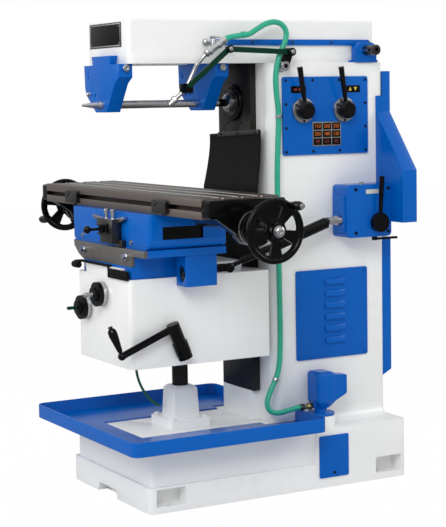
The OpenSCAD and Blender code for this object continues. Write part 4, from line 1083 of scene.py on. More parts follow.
class Repeats:
    """Geometry Nodes trees that repeat a small shape, each built once."""

    @staticmethod
    def start(name: str, sockets: dict[str, str]) -> tuple[Wiring, bpy.types.NodeOutputs]:
        """Starts a tree.

        Args:
            name: the tree's name.
            sockets: names and types of its inputs between the geometry and the finish.

        Returns:
            The tree's wiring and what its inputs give.
        """
        tree = bpy.data.node_groups.new(name, "GeometryNodeTree")
        tree.interface.new_socket("Geometry", in_out="OUTPUT", socket_type="NodeSocketGeometry")
        inputs = {"Geometry": "NodeSocketGeometry", **sockets, "Finish": "NodeSocketMaterial"}
        for label, kind in inputs.items():
            tree.interface.new_socket(label, in_out="INPUT", socket_type=kind)
        w = Wiring(tree)
        return w, w.add("NodeGroupInput").outputs

    @staticmethod
    def end(w: Wiring, given: bpy.types.NodeOutputs, copies: Node) -> Tree:
        """Ends a tree with Realize Instances and Set Material.

        Args:
            w: the tree's wiring.
            given: what its inputs give.
            copies: the node that makes the instances.

        Returns:
            The tree.
        """
        real, painted = w.add("GeometryNodeRealizeInstances"), w.add("GeometryNodeSetMaterial")
        w.link(copies.outputs["Instances"], real.inputs["Geometry"])
        w.link(real.outputs["Geometry"], painted.inputs["Geometry"])
        w.link(given["Finish"], painted.inputs["Material"])
        w.link(painted.outputs["Geometry"], w.add("NodeGroupOutput").inputs["Geometry"])
        return w.tree

    @staticmethod
    @cache
    def on_points() -> Tree:
        """A shape on every point of the mesh."""
        w, given = Repeats.start("shape_on_points", {"Shape": "NodeSocketObject"})
        shape = w.add("GeometryNodeObjectInfo")
        w.link(given["Shape"], shape.inputs["Object"])
        copies = w.add("GeometryNodeInstanceOnPoints")
        w.link(given["Geometry"], copies.inputs["Points"])
        w.link(shape.outputs["Geometry"], copies.inputs["Instance"])
        return Repeats.end(w, given, copies)

    @staticmethod
    @cache
    def round_scale() -> Tree:
        """Bars set round a circle, each with its depth along the radius."""
        w, given = Repeats.start("round_scale", {
            "Count": "NodeSocketInt", "Radius": "NodeSocketFloat", "Bar": "NodeSocketVector"})
        circle = w.add("GeometryNodeMeshCircle")
        w.link(given["Count"], circle.inputs["Vertices"])
        w.link(given["Radius"], circle.inputs["Radius"])
        bar = w.add("GeometryNodeMeshCube")
        w.link(given["Bar"], bar.inputs["Size"])
        turned = w.add("FunctionNodeAlignRotationToVector", axis="X")
        w.link(w.add("GeometryNodeInputPosition").outputs["Position"], turned.inputs["Vector"])
        copies = w.add("GeometryNodeInstanceOnPoints")
        w.link(circle.outputs["Mesh"], copies.inputs["Points"])
        w.link(bar.outputs["Mesh"], copies.inputs["Instance"])
        w.link(turned.outputs["Rotation"], copies.inputs["Rotation"])
        return Repeats.end(w, given, copies)

    @staticmethod
    def run(tree: Tree, points: Sequence[Vector], values: dict[str, object]) -> Mesh:
        """Runs a tree and returns its plain mesh.

        Args:
            tree: the tree.
            points: points of the mesh that it gets.
            values: its inputs, by name.

        Returns:
            The new mesh.
        """
        data = bpy.data.meshes.new("points")
        data.from_pydata([tuple(p) for p in points], [], [])
        holder = add_object("points", data)
        nodes = holder.modifiers.new("repeat", "NODES")
        nodes.node_group = tree
        for item in tree.interface.items_tree:
            if item.in_out == "INPUT" and item.name in values:
                nodes[item.identifier] = values[item.name]
        made = plain_mesh(holder)
        bpy.data.objects.remove(holder)
        bpy.data.meshes.remove(data)
        return made


@dataclass
class Heads:
    """Round socket heads on a row of points."""

    name: str
    body: str
    points: Sequence[Point]
    axis: Point
    diameter: float
    height: float
    finish: Finish = Finish.DARK_STEEL
    sides: int = 20

    def build(self) -> None:
        """Builds one head and repeats it."""
        r, h = self.diameter / 2, self.height
        socket = h * 0.45
        profile = ((0, r), (h * 0.7, r), (h, r * 0.8), (h, r * 0.5), (socket, r * 0.45), (socket, 0))
        one = Maker(f"{self.name}_one").lathe((0, 0, 0), self.axis, profile, self.sides)
        head = add_object(one.name, one.data())
        mesh = Repeats.run(Repeats.on_points(), [mm(*p) for p in self.points],
                           {"Shape": head, "Finish": self.finish.paint()})
        bpy.data.objects.remove(head)
        shade(mesh, SMOOTH_SMALL)
        place_piece(self.name, mesh, self.body)


@dataclass
class Scale:
    """A ring with graduations round a dial."""

    name: str
    body: str
    middle: Point
    axis: Point
    radius: float
    width: float
    count: int = 60
    finish: Finish = Finish.STEEL
    ink: Finish = Finish.PLATE
    bar: tuple[float, float] = (0.5, 0.7)

    def build(self) -> None:
        """Builds the ring and its marks, every fifth of them long."""
        ring = Maker(f"{self.name}_ring")
        ring.band(self.middle, self.axis, self.radius - 1.0, self.radius + 0.6, self.width, 72)
        ring.done(self.finish, self.body, smooth=25.0)
        turn = Vector(UPWARD).rotation_difference(Vector(self.axis)).to_matrix().to_4x4()
        for kind, count, share in (("marks", self.count, 0.45), ("long_marks", self.count // 5, 0.75)):
            bar = tuple(mm(*self.bar, self.width * share))
            mesh = Repeats.run(Repeats.round_scale(), [], {
                "Count": count, "Radius": (self.radius + 0.5) * MM, "Bar": bar, "Finish": self.ink.paint()})
            mesh.transform(Matrix.Translation(mm(*self.middle)) @ turn)
            place_piece(f"{self.name}_{kind}", mesh, self.body)


# Hoses


@dataclass
class Hose:
    """A hose along the route of its CAD solid, as a smooth round tube."""

    node: str
    finish: Finish
    diameter: float
    standing: str
    moving: str
    bends: tuple[Point, Point]
    route: Sequence[Point]
    sides: int = 20
    steps: int = 10

    def centreline(self) -> list[Vector]:
        """Returns the points of a spline through the route's points."""
        p = [Vector(q) for q in self.route]
        line: list[Vector] = []
        for i in range(len(p) - 1):
            a, b, c, d = p[max(i - 1, 0)], p[i], p[i + 1], p[min(i + 2, len(p) - 1)]
            for t in (k / self.steps for k in range(self.steps)):
                line.append(0.5 * (2 * b + (c - a) * t + (2 * a - 5 * b + 4 * c - d) * t ** 2
                                   + (3 * b - a - 3 * c + d) * t ** 3))
        return [*line, p[-1]]

    def bind(self, piece: Piece) -> None:
        """Bakes a piece's placement into its mesh; the piece rides on no body."""
        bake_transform(piece)

    def lay(self) -> None:
        line = self.centreline()
        tube = Maker(f"{self.node}_tube")
        side = (line[1] - line[0]).orthogonal().normalized()
        rings: list[Row] = []
        for before, middle, after in zip([line[0], *line], line, [*line[1:], line[-1]]):
            along = (after - before).normalized()
            side = (side - along * side.dot(along)).normalized()
            rings.append(add_ring(tube.mesh, middle, side, along.cross(side), self.diameter / 2, self.sides))
        piece = tube.skin(rings).done(self.finish, None, smooth=50.0)
        self.bind(piece)
        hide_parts(self.node)


COOLANT_HOSE = Hose(
    "coolant_hose", Finish.HOSE, 19.0, "frame", "arm_lower_body",
    bends=((214, 120, 1510), (214.7, -107.6, 1548.4)),
    route=(
        (254, 176.4, 284), (254, 147, 284), (249, 110, 277), (239, 76, 271), (227, 52, 280), (219, 46, 308),
        (216, 62, 348), (216, 86, 392), (216, 100, 450), (216, 104, 560), (216, 103, 740), (216, 101, 900),
        (216, 101, 1080), (215, 105, 1190), (214, 110, 1260), (214, 110, 1320), (214, 104, 1370),
        (214, 101, 1420), (214, 106, 1465), (214, 120, 1510), (214, 138, 1546), (214, 146, 1580),
        (214, 132, 1606), (214, 102, 1617), (214, 66, 1611), (214, 32, 1594), (214, -2, 1576),
        (215, -44, 1570), (217.5, -84, 1563.5), (214.7, -107.6, 1548.4)))

DRAIN_HOSE = Hose(
    "drain_hose", Finish.DRAIN, 9.0, "frame", "knee_body",
    bends=((-54, -236, 284), (-30, -338, 469.4)),
    route=(
        (-30, -338, 469.4), (-32, -336, 446), (-40, -328, 408), (-50, -313, 372), (-56, -294, 340),
        (-58, -272, 312), (-57, -252, 294), (-54, -236, 284)), sides=14)


# Fittings


def turned(name: str, body: str, finish: Finish, start: Point, axis: Point, profile: Profile, sides: int = 40,
           bevel: float = 0.0) -> None:
    """Builds a small turned or hexagonal fitting.

    Args:
        name: the piece's name.
        body: the CAD body that carries it.
        finish: its finish.
        start: the axis's first point.
        axis: the axis's direction.
        profile: (distance along the axis, radius) of each ring.
        sides: faces round the axis.
        bevel: width of its rounded edges in millimetres.
    """
    Maker(name).lathe(start, axis, profile, sides).done(finish, body, bevel)


@dataclass
class HoseFittings:
    """Clips, ferrules and the union on the coolant hose."""

    hose_r: float = COOLANT_HOSE.diameter / 2
    wall: float = 195.0
    clips: tuple[tuple[Point, Point], ...] = (((216, 82.5, 384), (0, 0.45, 0.9)), ((214, 111, 1296), UPWARD))
    clip_width: float = 11.0
    clip_grip: float = 0.3
    clip_band: float = 1.6
    clip_sheet: float = 2.2
    strap_off: float = 8.0
    strap_sheet: float = 2.4
    foot_reach: float = 16.0
    foot_screw: float = 10.0
    union: Point = (214.6, -24, 1573.2)
    union_neck: Point = (214.6, -18, 1574)
    union_axis: Point = (0.03, -0.99, -0.13)
    arm_end: Point = (215.4, -101.4, 1552.4)
    arm_axis: Point = (-0.11, -0.83, -0.55)
    pump_end: Point = (254, 168, 284)
    pump_neck: Point = (254, 158, 284)

    def clip(self, number: int, middle: Point, along: Point) -> None:
        """Builds a clip: a band round the hose, a strap, and a foot with a screw on the column.

        Args:
            number: the clip's number.
            middle: the band's middle.
            along: the hose's direction there.
        """
        x, y, z = middle
        low, high = z - self.clip_width / 2, z + self.clip_width / 2
        strap, face = y + self.strap_off, self.wall + self.clip_sheet
        clip = Maker(f"hose_clip_{number}")
        inner, outer = self.hose_r - self.clip_grip, self.hose_r + self.clip_band
        clip.band(middle, along, inner, outer, self.clip_width)
        clip.box((self.wall, strap, low), (x - 4, strap + self.strap_sheet, high))
        clip.box((self.wall, strap, low), (face, strap + self.foot_reach, high))
        clip.done(Finish.STEEL, "frame", 0.4)
        screw = (face, strap + self.foot_screw, z)
        Heads(f"hose_clip_screw_{number}", "frame", (screw,), TO_RIGHT, 8, 4).build()

    def build(self) -> None:
        """Builds the clips on the column and the fittings at both ends."""
        for number, (middle, along) in enumerate(self.clips, 1):
            self.clip(number, middle, along)
        union = Maker("hose_union").band(self.union, self.union_axis, 9.2, 11.4, 13)
        union.band(self.union_neck, self.union_axis, 9.2, 10.6, 8)
        COOLANT_HOSE.bind(union.done(Finish.HOSE, None))
        ferrule = Maker("hose_end_ferrule").band(self.arm_end, self.arm_axis, 9.6, 12.2, 19)
        ferrule.done(Finish.STEEL, "arm_upper_body")
        ferrule = Maker("pump_ferrule").band(self.pump_end, TO_REAR, 9.3, 11.6, 12)
        ferrule.band(self.pump_neck, TO_REAR, 9.3, 11.0, 5).done(Finish.DARK_STEEL, "frame")


@dataclass
class ArmFittings:
    """Hexagons and the tap on the coolant arm's valve, and the knobs of its pivots."""

    valve_top: Point = (214.5, -109.2, 1547.3)
    valve_axis: Point = (-0.106, -0.83, -0.545)
    valve_nuts: Profile = ((5, 15.5), (44, 16.5))
    tap: Point = (208, -138, 1556)
    tap_bar: Point = (208, -150, 1565)
    post: Point = (195, 133, 1468)
    pivots: tuple[tuple[str, str, Point], ...] = (
        ("pivot", "frame", (244, 152, 1515)), ("elbow", "arm_lower_body", (253, -95, 1525)))
    nozzle: Point = (184.0, -286, 1350)
    nozzle_axis: Point = (-0.28, -0.72, -0.69)

    def valve(self) -> None:
        """Builds the valve's two hexagons and its tap."""
        nuts = Maker("valve_nuts")
        for reach, r in self.valve_nuts:
            start = Vector(self.valve_top) + Vector(self.valve_axis) * reach
            hexagon = ((0, 0), (0, r * 0.9), (1.5, r), (10, r), (11.5, r * 0.9), (11.5, 0))
            nuts.lathe(tuple(start), self.valve_axis, hexagon, 6)
        nuts.done(Finish.STEEL, "arm_upper_body", 0.3)
        tap = Maker("valve_tap")
        tap.lathe(self.tap, UPWARD, ((0, 6.5), (3, 6.5), (4, 10), (12, 10), (14, 8), (14, 0)), 24)
        tap.lathe(self.tap_bar, TO_REAR, ((0, 0), (0, 3.4), (3, 4), (38, 3), (40, 2), (40, 0)), 16)
        tap.done(Finish.STEEL, "arm_upper_body")

    def build(self) -> None:
        """Builds the valve's fittings, the post's boss, the pivots and the nozzle's nut."""
        self.valve()
        boss = ((0, 0), (0, 21), (4, 21), (5, 17.5), (33, 17.5), (36, 15), (36, 8), (31, 7), (31, 0))
        turned("arm_post_boss", "frame", Finish.STEEL, self.post, TO_RIGHT, boss)
        knob = ((0, 0), (0, 13), (1, 14), (8, 14), (10, 12), (10, 0))
        screw = ((-1, 0), (-1, 7.5), (2, 7.5), (4, 5.5), (4.6, 0))
        for name, body, (x, y, z) in self.pivots:
            turned(f"arm_{name}_knob", body, Finish.KNOB, (x - 7, y, z), TO_RIGHT, knob, 32)
            turned(f"arm_{name}_screw", body, Finish.STEEL, (x + 3, y, z), TO_RIGHT, screw, 24)
        nut = ((-22, 0), (-22, 11), (-20, 12.5), (-10, 12.5), (-8, 11), (-8, 0))
        turned("nozzle_nut", "arm_upper_body", Finish.STEEL, self.nozzle, self.nozzle_axis, nut, 6, 0.3)


@dataclass
class OverarmTrim:
    """Bare name plate, rail screws and end knob of the overarm."""

    plate_low: Point = (-140, -430, 1537)
    plate_high: Point = (108, -428, 1619)
    border_in: float = 3.0
    rivet_in: float = 13.0
    rail_x: float = 171.0
    rail_z: float = 1550.0
    rail_screws: tuple[float, ...] = (37, 197, 357, 517)
    knob: tuple[float, float] = (167, -124)

    def build(self) -> None:
        """Builds the plate with its border and rivets, and the rail's trim."""
        (x0, y0, z0), (x1, _, z1) = self.plate_low, self.plate_high
        Maker("name_plate").box(self.plate_low, self.plate_high).done(Finish.PLATE, "overarm_body", 0.5)
        inset = self.border_in
        low, high = (x0 + inset, y0 - 0.5, z0 + inset), (x1 - inset, y0 + 0.2, z1 - inset)
        Maker("name_plate_border").border(low, high, 4).done(Finish.BARE_PLATE, "overarm_body", 0.2)
        rivets = [(x, y0, z) for x in (x0 + self.rivet_in, x1 - self.rivet_in)
                  for z in (z0 + self.rivet_in, z1 - self.rivet_in)]
        Heads("name_plate_rivets", "overarm_body", rivets, TO_FRONT, 6, 1.6, Finish.BARE_PLATE).build()
        screws = [(self.rail_x, y, self.rail_z) for y in self.rail_screws]
        Heads("rail_screws", "overarm_body", screws, TO_RIGHT, 9, 2.5).build()
        knob = ((0, 5), (8, 5), (9, 8), (12, 11.5), (18, 13), (25, 12), (30, 8.5), (32, 4), (32.4, 0))
        turned("rail_knob", "overarm_body", Finish.STEEL, (*self.knob, self.rail_z), TO_FRONT, knob)


@dataclass
class SpindleTrim:
    """The nose ring's rim and screws, the arbor's collar, and the yokes' small fittings."""

    spindle_z: float = 1346.0
    ring_back: float = 57.0
    ring_face: float = 43.0
    screw_r: float = 56.0
    screw_angles: tuple[float, ...] = (45, 135, 225, 315)
    collar_back: float = 30.0
    yokes: tuple[tuple[str, float], ...] = (("front", -430), ("rear", -66))
    clamp: tuple[float, float] = (118, 1466)
    oiler: tuple[float, float] = (-92, 1383)
    oiler_front: float = 25.0

    def build(self) -> None:
        """Builds the fittings round the spindle's line."""
        rim = ((0, 64.5), (9, 64.5), (12.5, 62.5), (14, 59), (14, 52.5), (12.5, 50.8), (0, 50.8))
        ring = Maker("nose_ring_rim").lathe((0, self.ring_back, self.spindle_z), TO_FRONT, rim, 72, ring=True)
        ring.done(Finish.KNOB, "frame")
        screws = [(self.screw_r * math.cos(a), self.ring_face, self.spindle_z + self.screw_r * math.sin(a))
                  for a in map(math.radians, self.screw_angles)]
        Heads("nose_ring_screws", "frame", screws, TO_FRONT, 9, 3).build()
        collar = ((0, 0), (0, 27), (2, 29), (5, 29), (8, 26), (9.6, 21), (10.4, 16), (10.4, 0))
        turned("arbor_collar", "spindle_body", Finish.STEEL, (0, self.collar_back, self.spindle_z), TO_FRONT,
               collar, 48)
        clamp = ((0, 0), (0, 5.8), (20, 5.8), (20, 11), (21, 12), (29, 12), (32, 10), (32, 6), (27, 5),
                 (27, 0))
        oiler = ((0, 0), (0, 8), (4, 8), (5, 6.5), (10, 6.5), (13, 5), (14, 2), (14, 0))
        for name, y in self.yokes:
            body, (clamp_x, clamp_z), (oiler_x, oiler_z) = f"{name}_yoke_body", self.clamp, self.oiler
            turned(f"{name}_yoke_clamp", body, Finish.STEEL, (clamp_x, y, clamp_z), TO_RIGHT, clamp)
            front = y - self.oiler_front
            turned(f"{name}_yoke_oiler", body, Finish.STEEL, (oiler_x, front, oiler_z), TO_FRONT, oiler, 28)


@dataclass
class SpeedPlate:
    """The table of spindle speeds: dark cells with figures on a bare plate."""

    face: float = 203.0
    low: tuple[float, float] = (254, 1189)
    high: tuple[float, float] = (372, 1274)
    thick: float = 1.6
    first: tuple[float, float] = (20.5, 16.0)
    pitch: tuple[float, float] = (38.5, 26.5)
    cell: tuple[float, float] = (17.0, 11.5)
    cell_face: float = 2.0
    figure: float = 17.0
    speeds: tuple[tuple[str, ...], ...] = (("710", "500", "355"), ("250", "180", "125"), ("90", "63", "45"))

    def build(self) -> None:
        """Builds the plate, its cells and its figures, the last row in another colour."""
        x, top = self.face, self.face + self.cell_face
        wide, high = self.cell
        plate = Maker("speed_plate").box((x, *self.low), (x + self.thick, *self.high))
        plate.done(Finish.BARE_PLATE, "frame", 0.4)
        cells, warm, dark = (Maker(f"speed_{name}") for name in ("cells", "figures_warm", "figures_dark"))
        for row, line in enumerate(self.speeds):
            for column, text in enumerate(line):
                y = self.low[0] + self.first[0] + column * self.pitch[0]
                z = self.high[1] - self.first[1] - row * self.pitch[1]
                cells.box((top - 0.5, y - wide, z - high), (top, y + wide, z + high))
                ink = dark if row == len(self.speeds) - 1 else warm
                ink.figures(text, (top, y, z), self.figure, 0.3)
        cells.done(Finish.PLATE, "frame")
        warm.done(Finish.ORANGE, "frame")
        dark.done(Finish.RED, "frame")


@dataclass
class RangePlates:
    """The two small plates over the speed levers, with plain marks."""

    face: float = 203.0
    plates: tuple[tuple[str, float, float], ...] = (("front", 168, 229), ("rear", 391, 454))
    foot: float = 1375.0
    head: float = 1399.0
    thick: float = 1.5
    mark: float = 0.4
    squares: tuple[float, ...] = (180, 199)
    arrows: tuple[tuple[float, int], ...] = ((412, 1), (434, -1))

    def build(self) -> None:
        """Builds both plates, two squares on the front one and two arrows on the rear one."""
        for name, y0, y1 in self.plates:
            plate = Maker(f"range_plate_{name}")
            plate.box((self.face, y0, self.foot), (self.face + self.thick, y1, self.head))
            plate.done(Finish.PLATE, "frame", 0.4)
        x, middle = self.face + self.thick - 0.1, (self.foot + self.head) / 2
        marks = Maker("range_marks_front")
        for y in self.squares:
            marks.box((x, y, middle - 4), (x + self.mark, y + 12, middle + 4))
        marks.done(Finish.RED, "frame")
        marks = Maker("range_marks_rear")
        for y, way in self.arrows:
            z = middle - way * 6
            marks.prism(((x, y - 7, z), (x, y + 7, z), (x, y, z + way * 13)), (self.mark, 0, 0))
        marks.done(Finish.YELLOW, "frame")


@dataclass
class Louvres:
    """The pressed hoods of the louvred cover."""

    count: int = 6
    face: float = 199.5
    ends: tuple[float, float] = (300, 382)
    cover_foot: float = 437.0
    pitch: float = 317 / 7.6
    first: float = 1.3
    depth: float = 8.6
    height: float = 23.0

    def build(self) -> None:
        """Builds each hood as a quarter of an oval drawn out along the cover, with its ends closed."""
        hoods = Maker("louvre_hoods")
        vertex, face = hoods.mesh.verts.new, hoods.mesh.faces.new
        quarter = [math.radians(a) for a in range(0, 91, 15)]
        for k in range(self.count):
            foot = self.cover_foot + self.pitch * (k + self.first) - 0.5
            arc = [(self.face + self.depth * math.cos(a), foot + self.height * math.sin(a)) for a in quarter]
            low, high = ([vertex((x, y, z)) for x, z in arc] for y in self.ends)
            low_foot, high_foot = (vertex((self.face - 1, y, foot)) for y in self.ends)
            join_rows(hoods.mesh, low, high)
            face((*low, low_foot))
            face((*high, high_foot))
            face((low[0], high[0], high_foot, low_foot))
            face((low[-1], high[-1], high_foot, low_foot))
        hoods.done(Finish.BLUE, "frame", 2.0, 45.0)


@dataclass
class PanelTrim:
    """Screws of the lever discs, and the small fittings of the feed gearbox and the belt guard."""

    disc_x: float = 217.0
    levers: tuple[float, float] = (212, 381)
    lever_z: float = 1315.0
    screw_r: float = 37.0
    screw_angles: tuple[float, ...] = (150, 270, 30)
    gearbox_plate: tuple[Point, Point] = ((290, 417, 1020), (291.4, 470, 1035))
    guard_lip: tuple[Point, Point] = ((192, 552.5, 1361), (200.4, 556.5, 1447))
    filler: Point = (272, 409, 1053)

    def build(self) -> None:
        """Builds the panel's trim."""
        screws = [(self.disc_x, y + self.screw_r * math.cos(a), self.lever_z + self.screw_r * math.sin(a))
                  for y in self.levers for a in map(math.radians, self.screw_angles)]
        Heads("lever_disc_screws", "frame", screws, TO_RIGHT, 9, 2.5, Finish.BLACK).build()
        Maker("gearbox_plate").box(*self.gearbox_plate).done(Finish.PALE, "frame", 0.4)
        Maker("guard_lip").box(*self.guard_lip).done(Finish.BLUE, "frame", 0.6)
        filler = ((0, 0), (0, 10), (2, 10), (3, 8), (8, 8), (10, 6), (10, 0))
        turned("gearbox_filler", "frame", Finish.STEEL, self.filler, UPWARD, filler, 24)


@dataclass
class TableTrim:
    """Scales, nuts and caps of the table, knee and saddle."""

    screw_y: float = -257.0
    screw_z: float = 960.0
    scale_x: float = 668.0
    nut_x: float = 816.0
    cross_dial: Point = (0, -477, 706)
    lift_dial: Point = (-135, -477, 647)
    block_cap: Point = (251, -273, 784)
    joint_boss: Point = (269, -122, 795)

    def build(self) -> None:
        """Builds the scales and small fittings."""
        Scale("cross_scale", "cross_dial_body", self.cross_dial, TO_REAR, 42, 12).build()
        Scale("lift_scale", "lift_dial_body", self.lift_dial, TO_REAR, 42, 12).build()
        nut = ((0, 0), (0, 19), (2, 19), (2, 17), (8, 17), (11.5, 15), (14, 11), (15, 6), (13.5, 3.5),
               (13, 0))
        for name, way in (("right", 1), ("left", -1)):
            middle = (way * self.scale_x, self.screw_y, self.screw_z)
            Scale(f"feed_scale_{name}", "table_screw_body", middle, TO_RIGHT, 54, 14, 100, Finish.BLACK,
                  Finish.PALE).build()
            turned(f"wheel_nut_{name}", "table_screw_body", Finish.STEEL,
                   (way * self.nut_x, self.screw_y, self.screw_z), (way, 0, 0), nut)
        cap = ((0, 0), (0, 28.6), (14, 28.6), (16, 26), (16, 12), (20, 12), (22, 10), (22, 0))
        turned("feed_block_cap", "saddle_body", Finish.DARK_STEEL, self.block_cap, TO_FRONT, cap)
        boss = ((0, 0), (0, 17), (4, 17), (7, 14.5), (9.5, 9), (10.5, 0))
        turned("feed_joint_boss", "saddle_body", Finish.BLACK, self.joint_boss, TO_RIGHT, boss)


@dataclass
class WayMat:
    """The rubber mat that hangs from a strip on the column's ways down to the knee."""

    top: float = 1241.0
    low: float = 776.5
    corner_foot: float = 776.0
    corner: float = 36.0
    left: float = -175.0
    right: float = 184.0
    flare: float = 26.0
    straight: float = 1215.0
    bend: float = 1050.0
    front: float = 56.5
    back: float = 40.8
    thick: float = 4.0
    slant: float = 7.5 / 181
    waves: tuple[Point, ...] = ((1.0, 41.0, 0.6), (0.6, 23.0, 0.0))
    rows: int = 64
    columns: int = 30
    strip_ends: tuple[float, float] = (-105, 182)
    strip_feet: tuple[float, float] = (1225, 1237)
    strip_height: float = 16.0
    strip_front: float = 46.6
    strip_screws: tuple[float, ...] = (-85, 38, 160)
    screw_z: float = 1237.4
    screw_rise: float = 0.0418

    def lean(self, z: float) -> float:
        """Returns how far the mat has come forward at a height, from 0 at the ways to 1 at the bend."""
        return min(1.0, max(0.0, (self.straight - z) / (self.straight - self.bend))) ** 1.5

    def edges(self, z: float) -> tuple[float, float]:
        """Returns the mat's edges at a height, with its lower corners rounded off.

        Args:
            z: the height.

        Returns:
            The X of its left and its right edge.
        """
        into_corner = max(0.0, self.corner - (z - self.corner_foot))
        cut = self.corner - math.sqrt(max(self.corner ** 2 - into_corner ** 2, 0.0))
        return self.left - self.flare * self.lean(z) + cut, self.right - cut

    def surface(self, x: float, z: float) -> float:
        """Returns the Y of the mat's back face, with the slow waves of hanging rubber."""
        wave = sum(height * math.sin(x / length + shift) for height, length, shift in self.waves)
        return self.front + (self.back - self.front + wave) * self.lean(z)

    def grid(self, mesh: bmesh.types.BMesh, offset: float) -> list[Row]:
        """Adds the points of one face of the mat.

        Args:
            mesh: the mesh.
            offset: how far the face stands in front of the back face.

        Returns:
            The points, row by row from the top.
        """
        points: list[Row] = []
        for down in (r / self.rows for r in range(self.rows + 1)):
            z = self.top + (self.low - self.top) * down
            left, right = self.edges(z)
            across = [left + (right - left) * c / self.columns for c in range(self.columns + 1)]
            points.append([mesh.verts.new((x, self.surface(x, z) - offset, z + self.slant * (1 - down) * x))
                           for x in across])
        return points

    def sheet(self) -> None:
        """Builds the mat, with its placement baked into its mesh and on no body."""
        maker = Maker("way_mat_rubber")
        back, face = (self.grid(maker.mesh, offset) for offset in (0.0, self.thick))
        for points in (back, face):
            for first, second in zip(points, points[1:]):
                join_rows(maker.mesh, first, second)
        rims = [(back[0], face[0]), (back[-1], face[-1])]
        rims += [([row[c] for row in back], [row[c] for row in face]) for c in (0, -1)]
        for one, other in rims:
            join_rows(maker.mesh, one, other)
        mat = maker.done(Finish.MAT, None, smooth=SMOOTH_CAST)
        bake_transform(mat)
        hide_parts("way_mat")

    def build(self) -> None:
        """Builds the mat, and the strip that clamps its top with three screws."""
        self.sheet()
        (x0, x1), (z0, z1), y = self.strip_ends, self.strip_feet, self.strip_front
        outline = ((x0, y, z0), (x1, y, z1),
                   (x1, y, z1 + self.strip_height), (x0, y, z0 + self.strip_height))
        Maker("way_mat_strip").prism(outline, (0, 10, 0)).done(Finish.DARK_STEEL, "frame", 0.8)
        heads = [(x, y, self.screw_z + self.screw_rise * x) for x in self.strip_screws]
        Heads("way_mat_screws", "frame", heads, TO_FRONT, 10, 3).build()


# Studio


@dataclass(frozen=True)
class Lamp:
    """A soft square lamp; its places are in metres, its power in watts."""

    name: str
    place: Point
    aim: Point
    size: float
    power: float

    def hang(self) -> None:
        """Hangs the lamp and points it at its aim."""
        data = bpy.data.lights.new(self.name, "AREA")
        data.size, data.energy = self.size, self.power
        lamp = add_object(self.name, data)
        lamp.location = self.place
        lamp.rotation_euler = (Vector(self.aim) - Vector(self.place)).to_track_quat("-Z", "Y").to_euler()


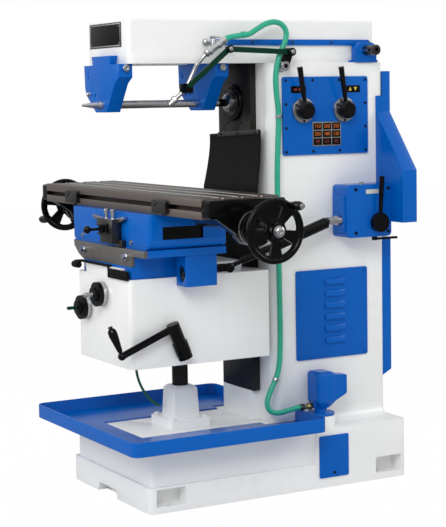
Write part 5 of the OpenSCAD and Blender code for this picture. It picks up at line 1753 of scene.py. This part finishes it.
@dataclass
class Studio:
    """Floor, light and the camera at the photograph's place."""

    eye: Point = (4856.55, -2692.35, 1363.48)
    azimuth: float = 60.987
    elevation: float = 6.015
    roll: float = -1.009
    focal_px: float = 1573.03
    image_height_px: int = 527
    floor_half: float = 14.0
    floor_colour: Colour = (0.86, 0.86, 0.86)
    floor_mirrored: Colour = (0.34, 0.34, 0.34)
    floor_glow: float = 0.985
    diffuse_light: float = 0.56
    mirrored_heights: tuple[float, float] = (-0.1, 0.9)
    mirrored_light: tuple[float, float] = (0.3, 1.0)
    lamps: tuple[Lamp, ...] = (
        Lamp("key", (4.2, -3.4, 4.2), (0.0, 0.0, 0.9), 2.6, 165.0),
        Lamp("fill", (-2.4, -4.6, 2.6), (0.0, -0.2, 0.9), 2.4, 70.0),
        Lamp("rim", (1.5, 4.5, 3.2), (0.0, 0.2, 1.0), 2.2, 60.0))

    def camera(self) -> None:
        """Places the camera and makes it the scene's own."""
        a, e, r = (math.radians(v) for v in (self.azimuth, self.elevation, self.roll))
        back = Vector((math.sin(a) * math.cos(e), -math.cos(a) * math.cos(e), math.sin(e)))
        level = Vector((math.cos(a), math.sin(a), 0.0))
        upright = back.cross(level)
        right = level * math.cos(r) + upright * math.sin(r)
        up = upright * math.cos(r) - level * math.sin(r)
        data = bpy.data.cameras.new("camera")
        data.sensor_fit, data.sensor_width = "AUTO", 36.0
        data.lens = self.focal_px / self.image_height_px * data.sensor_width
        data.clip_start, data.clip_end = 0.05, 60.0
        camera = add_object("camera", data)
        turn = Matrix((right, up, back)).transposed().to_4x4()
        camera.matrix_world = Matrix.Translation(mm(*self.eye)) @ turn
        bpy.context.scene.camera = camera

    def background(self) -> None:
        """Makes the world: even light, white to the camera, and brighter above in reflections."""
        world = bpy.data.worlds.new("studio")
        bpy.context.scene.world = world
        world.use_nodes = True
        w = Wiring(world.node_tree)
        shader = world.node_tree.nodes["Background"].inputs
        shader["Color"].default_value = (1.0, 1.0, 1.0, 1.0)
        path = w.add("ShaderNodeLightPath").outputs
        camera = path["Is Camera Ray"]
        seen = w.math("MAXIMUM", camera, path["Is Glossy Ray"])
        seen = w.math("MAXIMUM", seen, path["Is Transmission Ray"])
        aim = w.add("ShaderNodeSeparateXYZ")
        w.link(w.add("ShaderNodeTexCoord").outputs["Generated"], aim.inputs[0])
        mirrored = w.spread(aim.outputs["Z"], *self.mirrored_heights, *self.mirrored_light)
        level = w.math("MAXIMUM", w.product(seen, mirrored), camera)
        diffuse = w.product(path["Is Diffuse Ray"], self.diffuse_light)
        w.link(w.math("MAXIMUM", level, diffuse), shader["Strength"])

    def floor(self) -> None:
        """Lays a pale floor that keeps the machine's shadow."""
        half = self.floor_half
        data = bpy.data.meshes.new("floor")
        data.from_pydata([(-half, -half, 0), (half, -half, 0), (half, half, 0), (-half, half, 0)], [],
                         [(0, 1, 2, 3)])
        floor = add_object("floor", data)
        material = bpy.data.materials.new("pale_floor")
        material.use_nodes = True
        w = Wiring(material.node_tree)
        shader = material.node_tree.nodes["Principled BSDF"]
        path = w.add("ShaderNodeLightPath").outputs
        colour = w.mix(path["Is Glossy Ray"], self.floor_colour, self.floor_mirrored)
        w.link(colour, shader.inputs["Base Color"])
        shader.inputs["Roughness"].default_value = 0.9
        share = w.add("ShaderNodeMixShader")
        w.link(w.product(path["Is Camera Ray"], self.floor_glow), share.inputs[0])
        w.link(shader.outputs[0], share.inputs[1])
        w.link(w.add("ShaderNodeEmission").outputs[0], share.inputs[2])
        w.link(share.outputs[0], material.node_tree.nodes["Material Output"].inputs["Surface"])
        data.materials.append(material)

    def build(self) -> None:
        """Builds the whole studio."""
        bpy.context.scene.view_settings.view_transform = "Standard"
        self.camera()
        self.background()
        self.floor()
        for lamp in self.lamps:
            lamp.hang()


def main() -> None:
    """Builds the machine's looks piece by piece."""
    logging.basicConfig(level=logging.INFO, format="%(message)s")
    for thing in list(bpy.data.objects):
        bpy.data.objects.remove(thing)
    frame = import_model()
    Studio().build()
    for hose in (COOLANT_HOSE, DRAIN_HOSE):
        hose.lay()
    for casting in CASTINGS:
        casting.dress(frame)
    for trim in (HoseFittings, ArmFittings, OverarmTrim, SpindleTrim, SpeedPlate, RangePlates, Louvres,
                 PanelTrim, TableTrim, WayMat):
        trim().build()


if __name__ == "__main__":
    main()
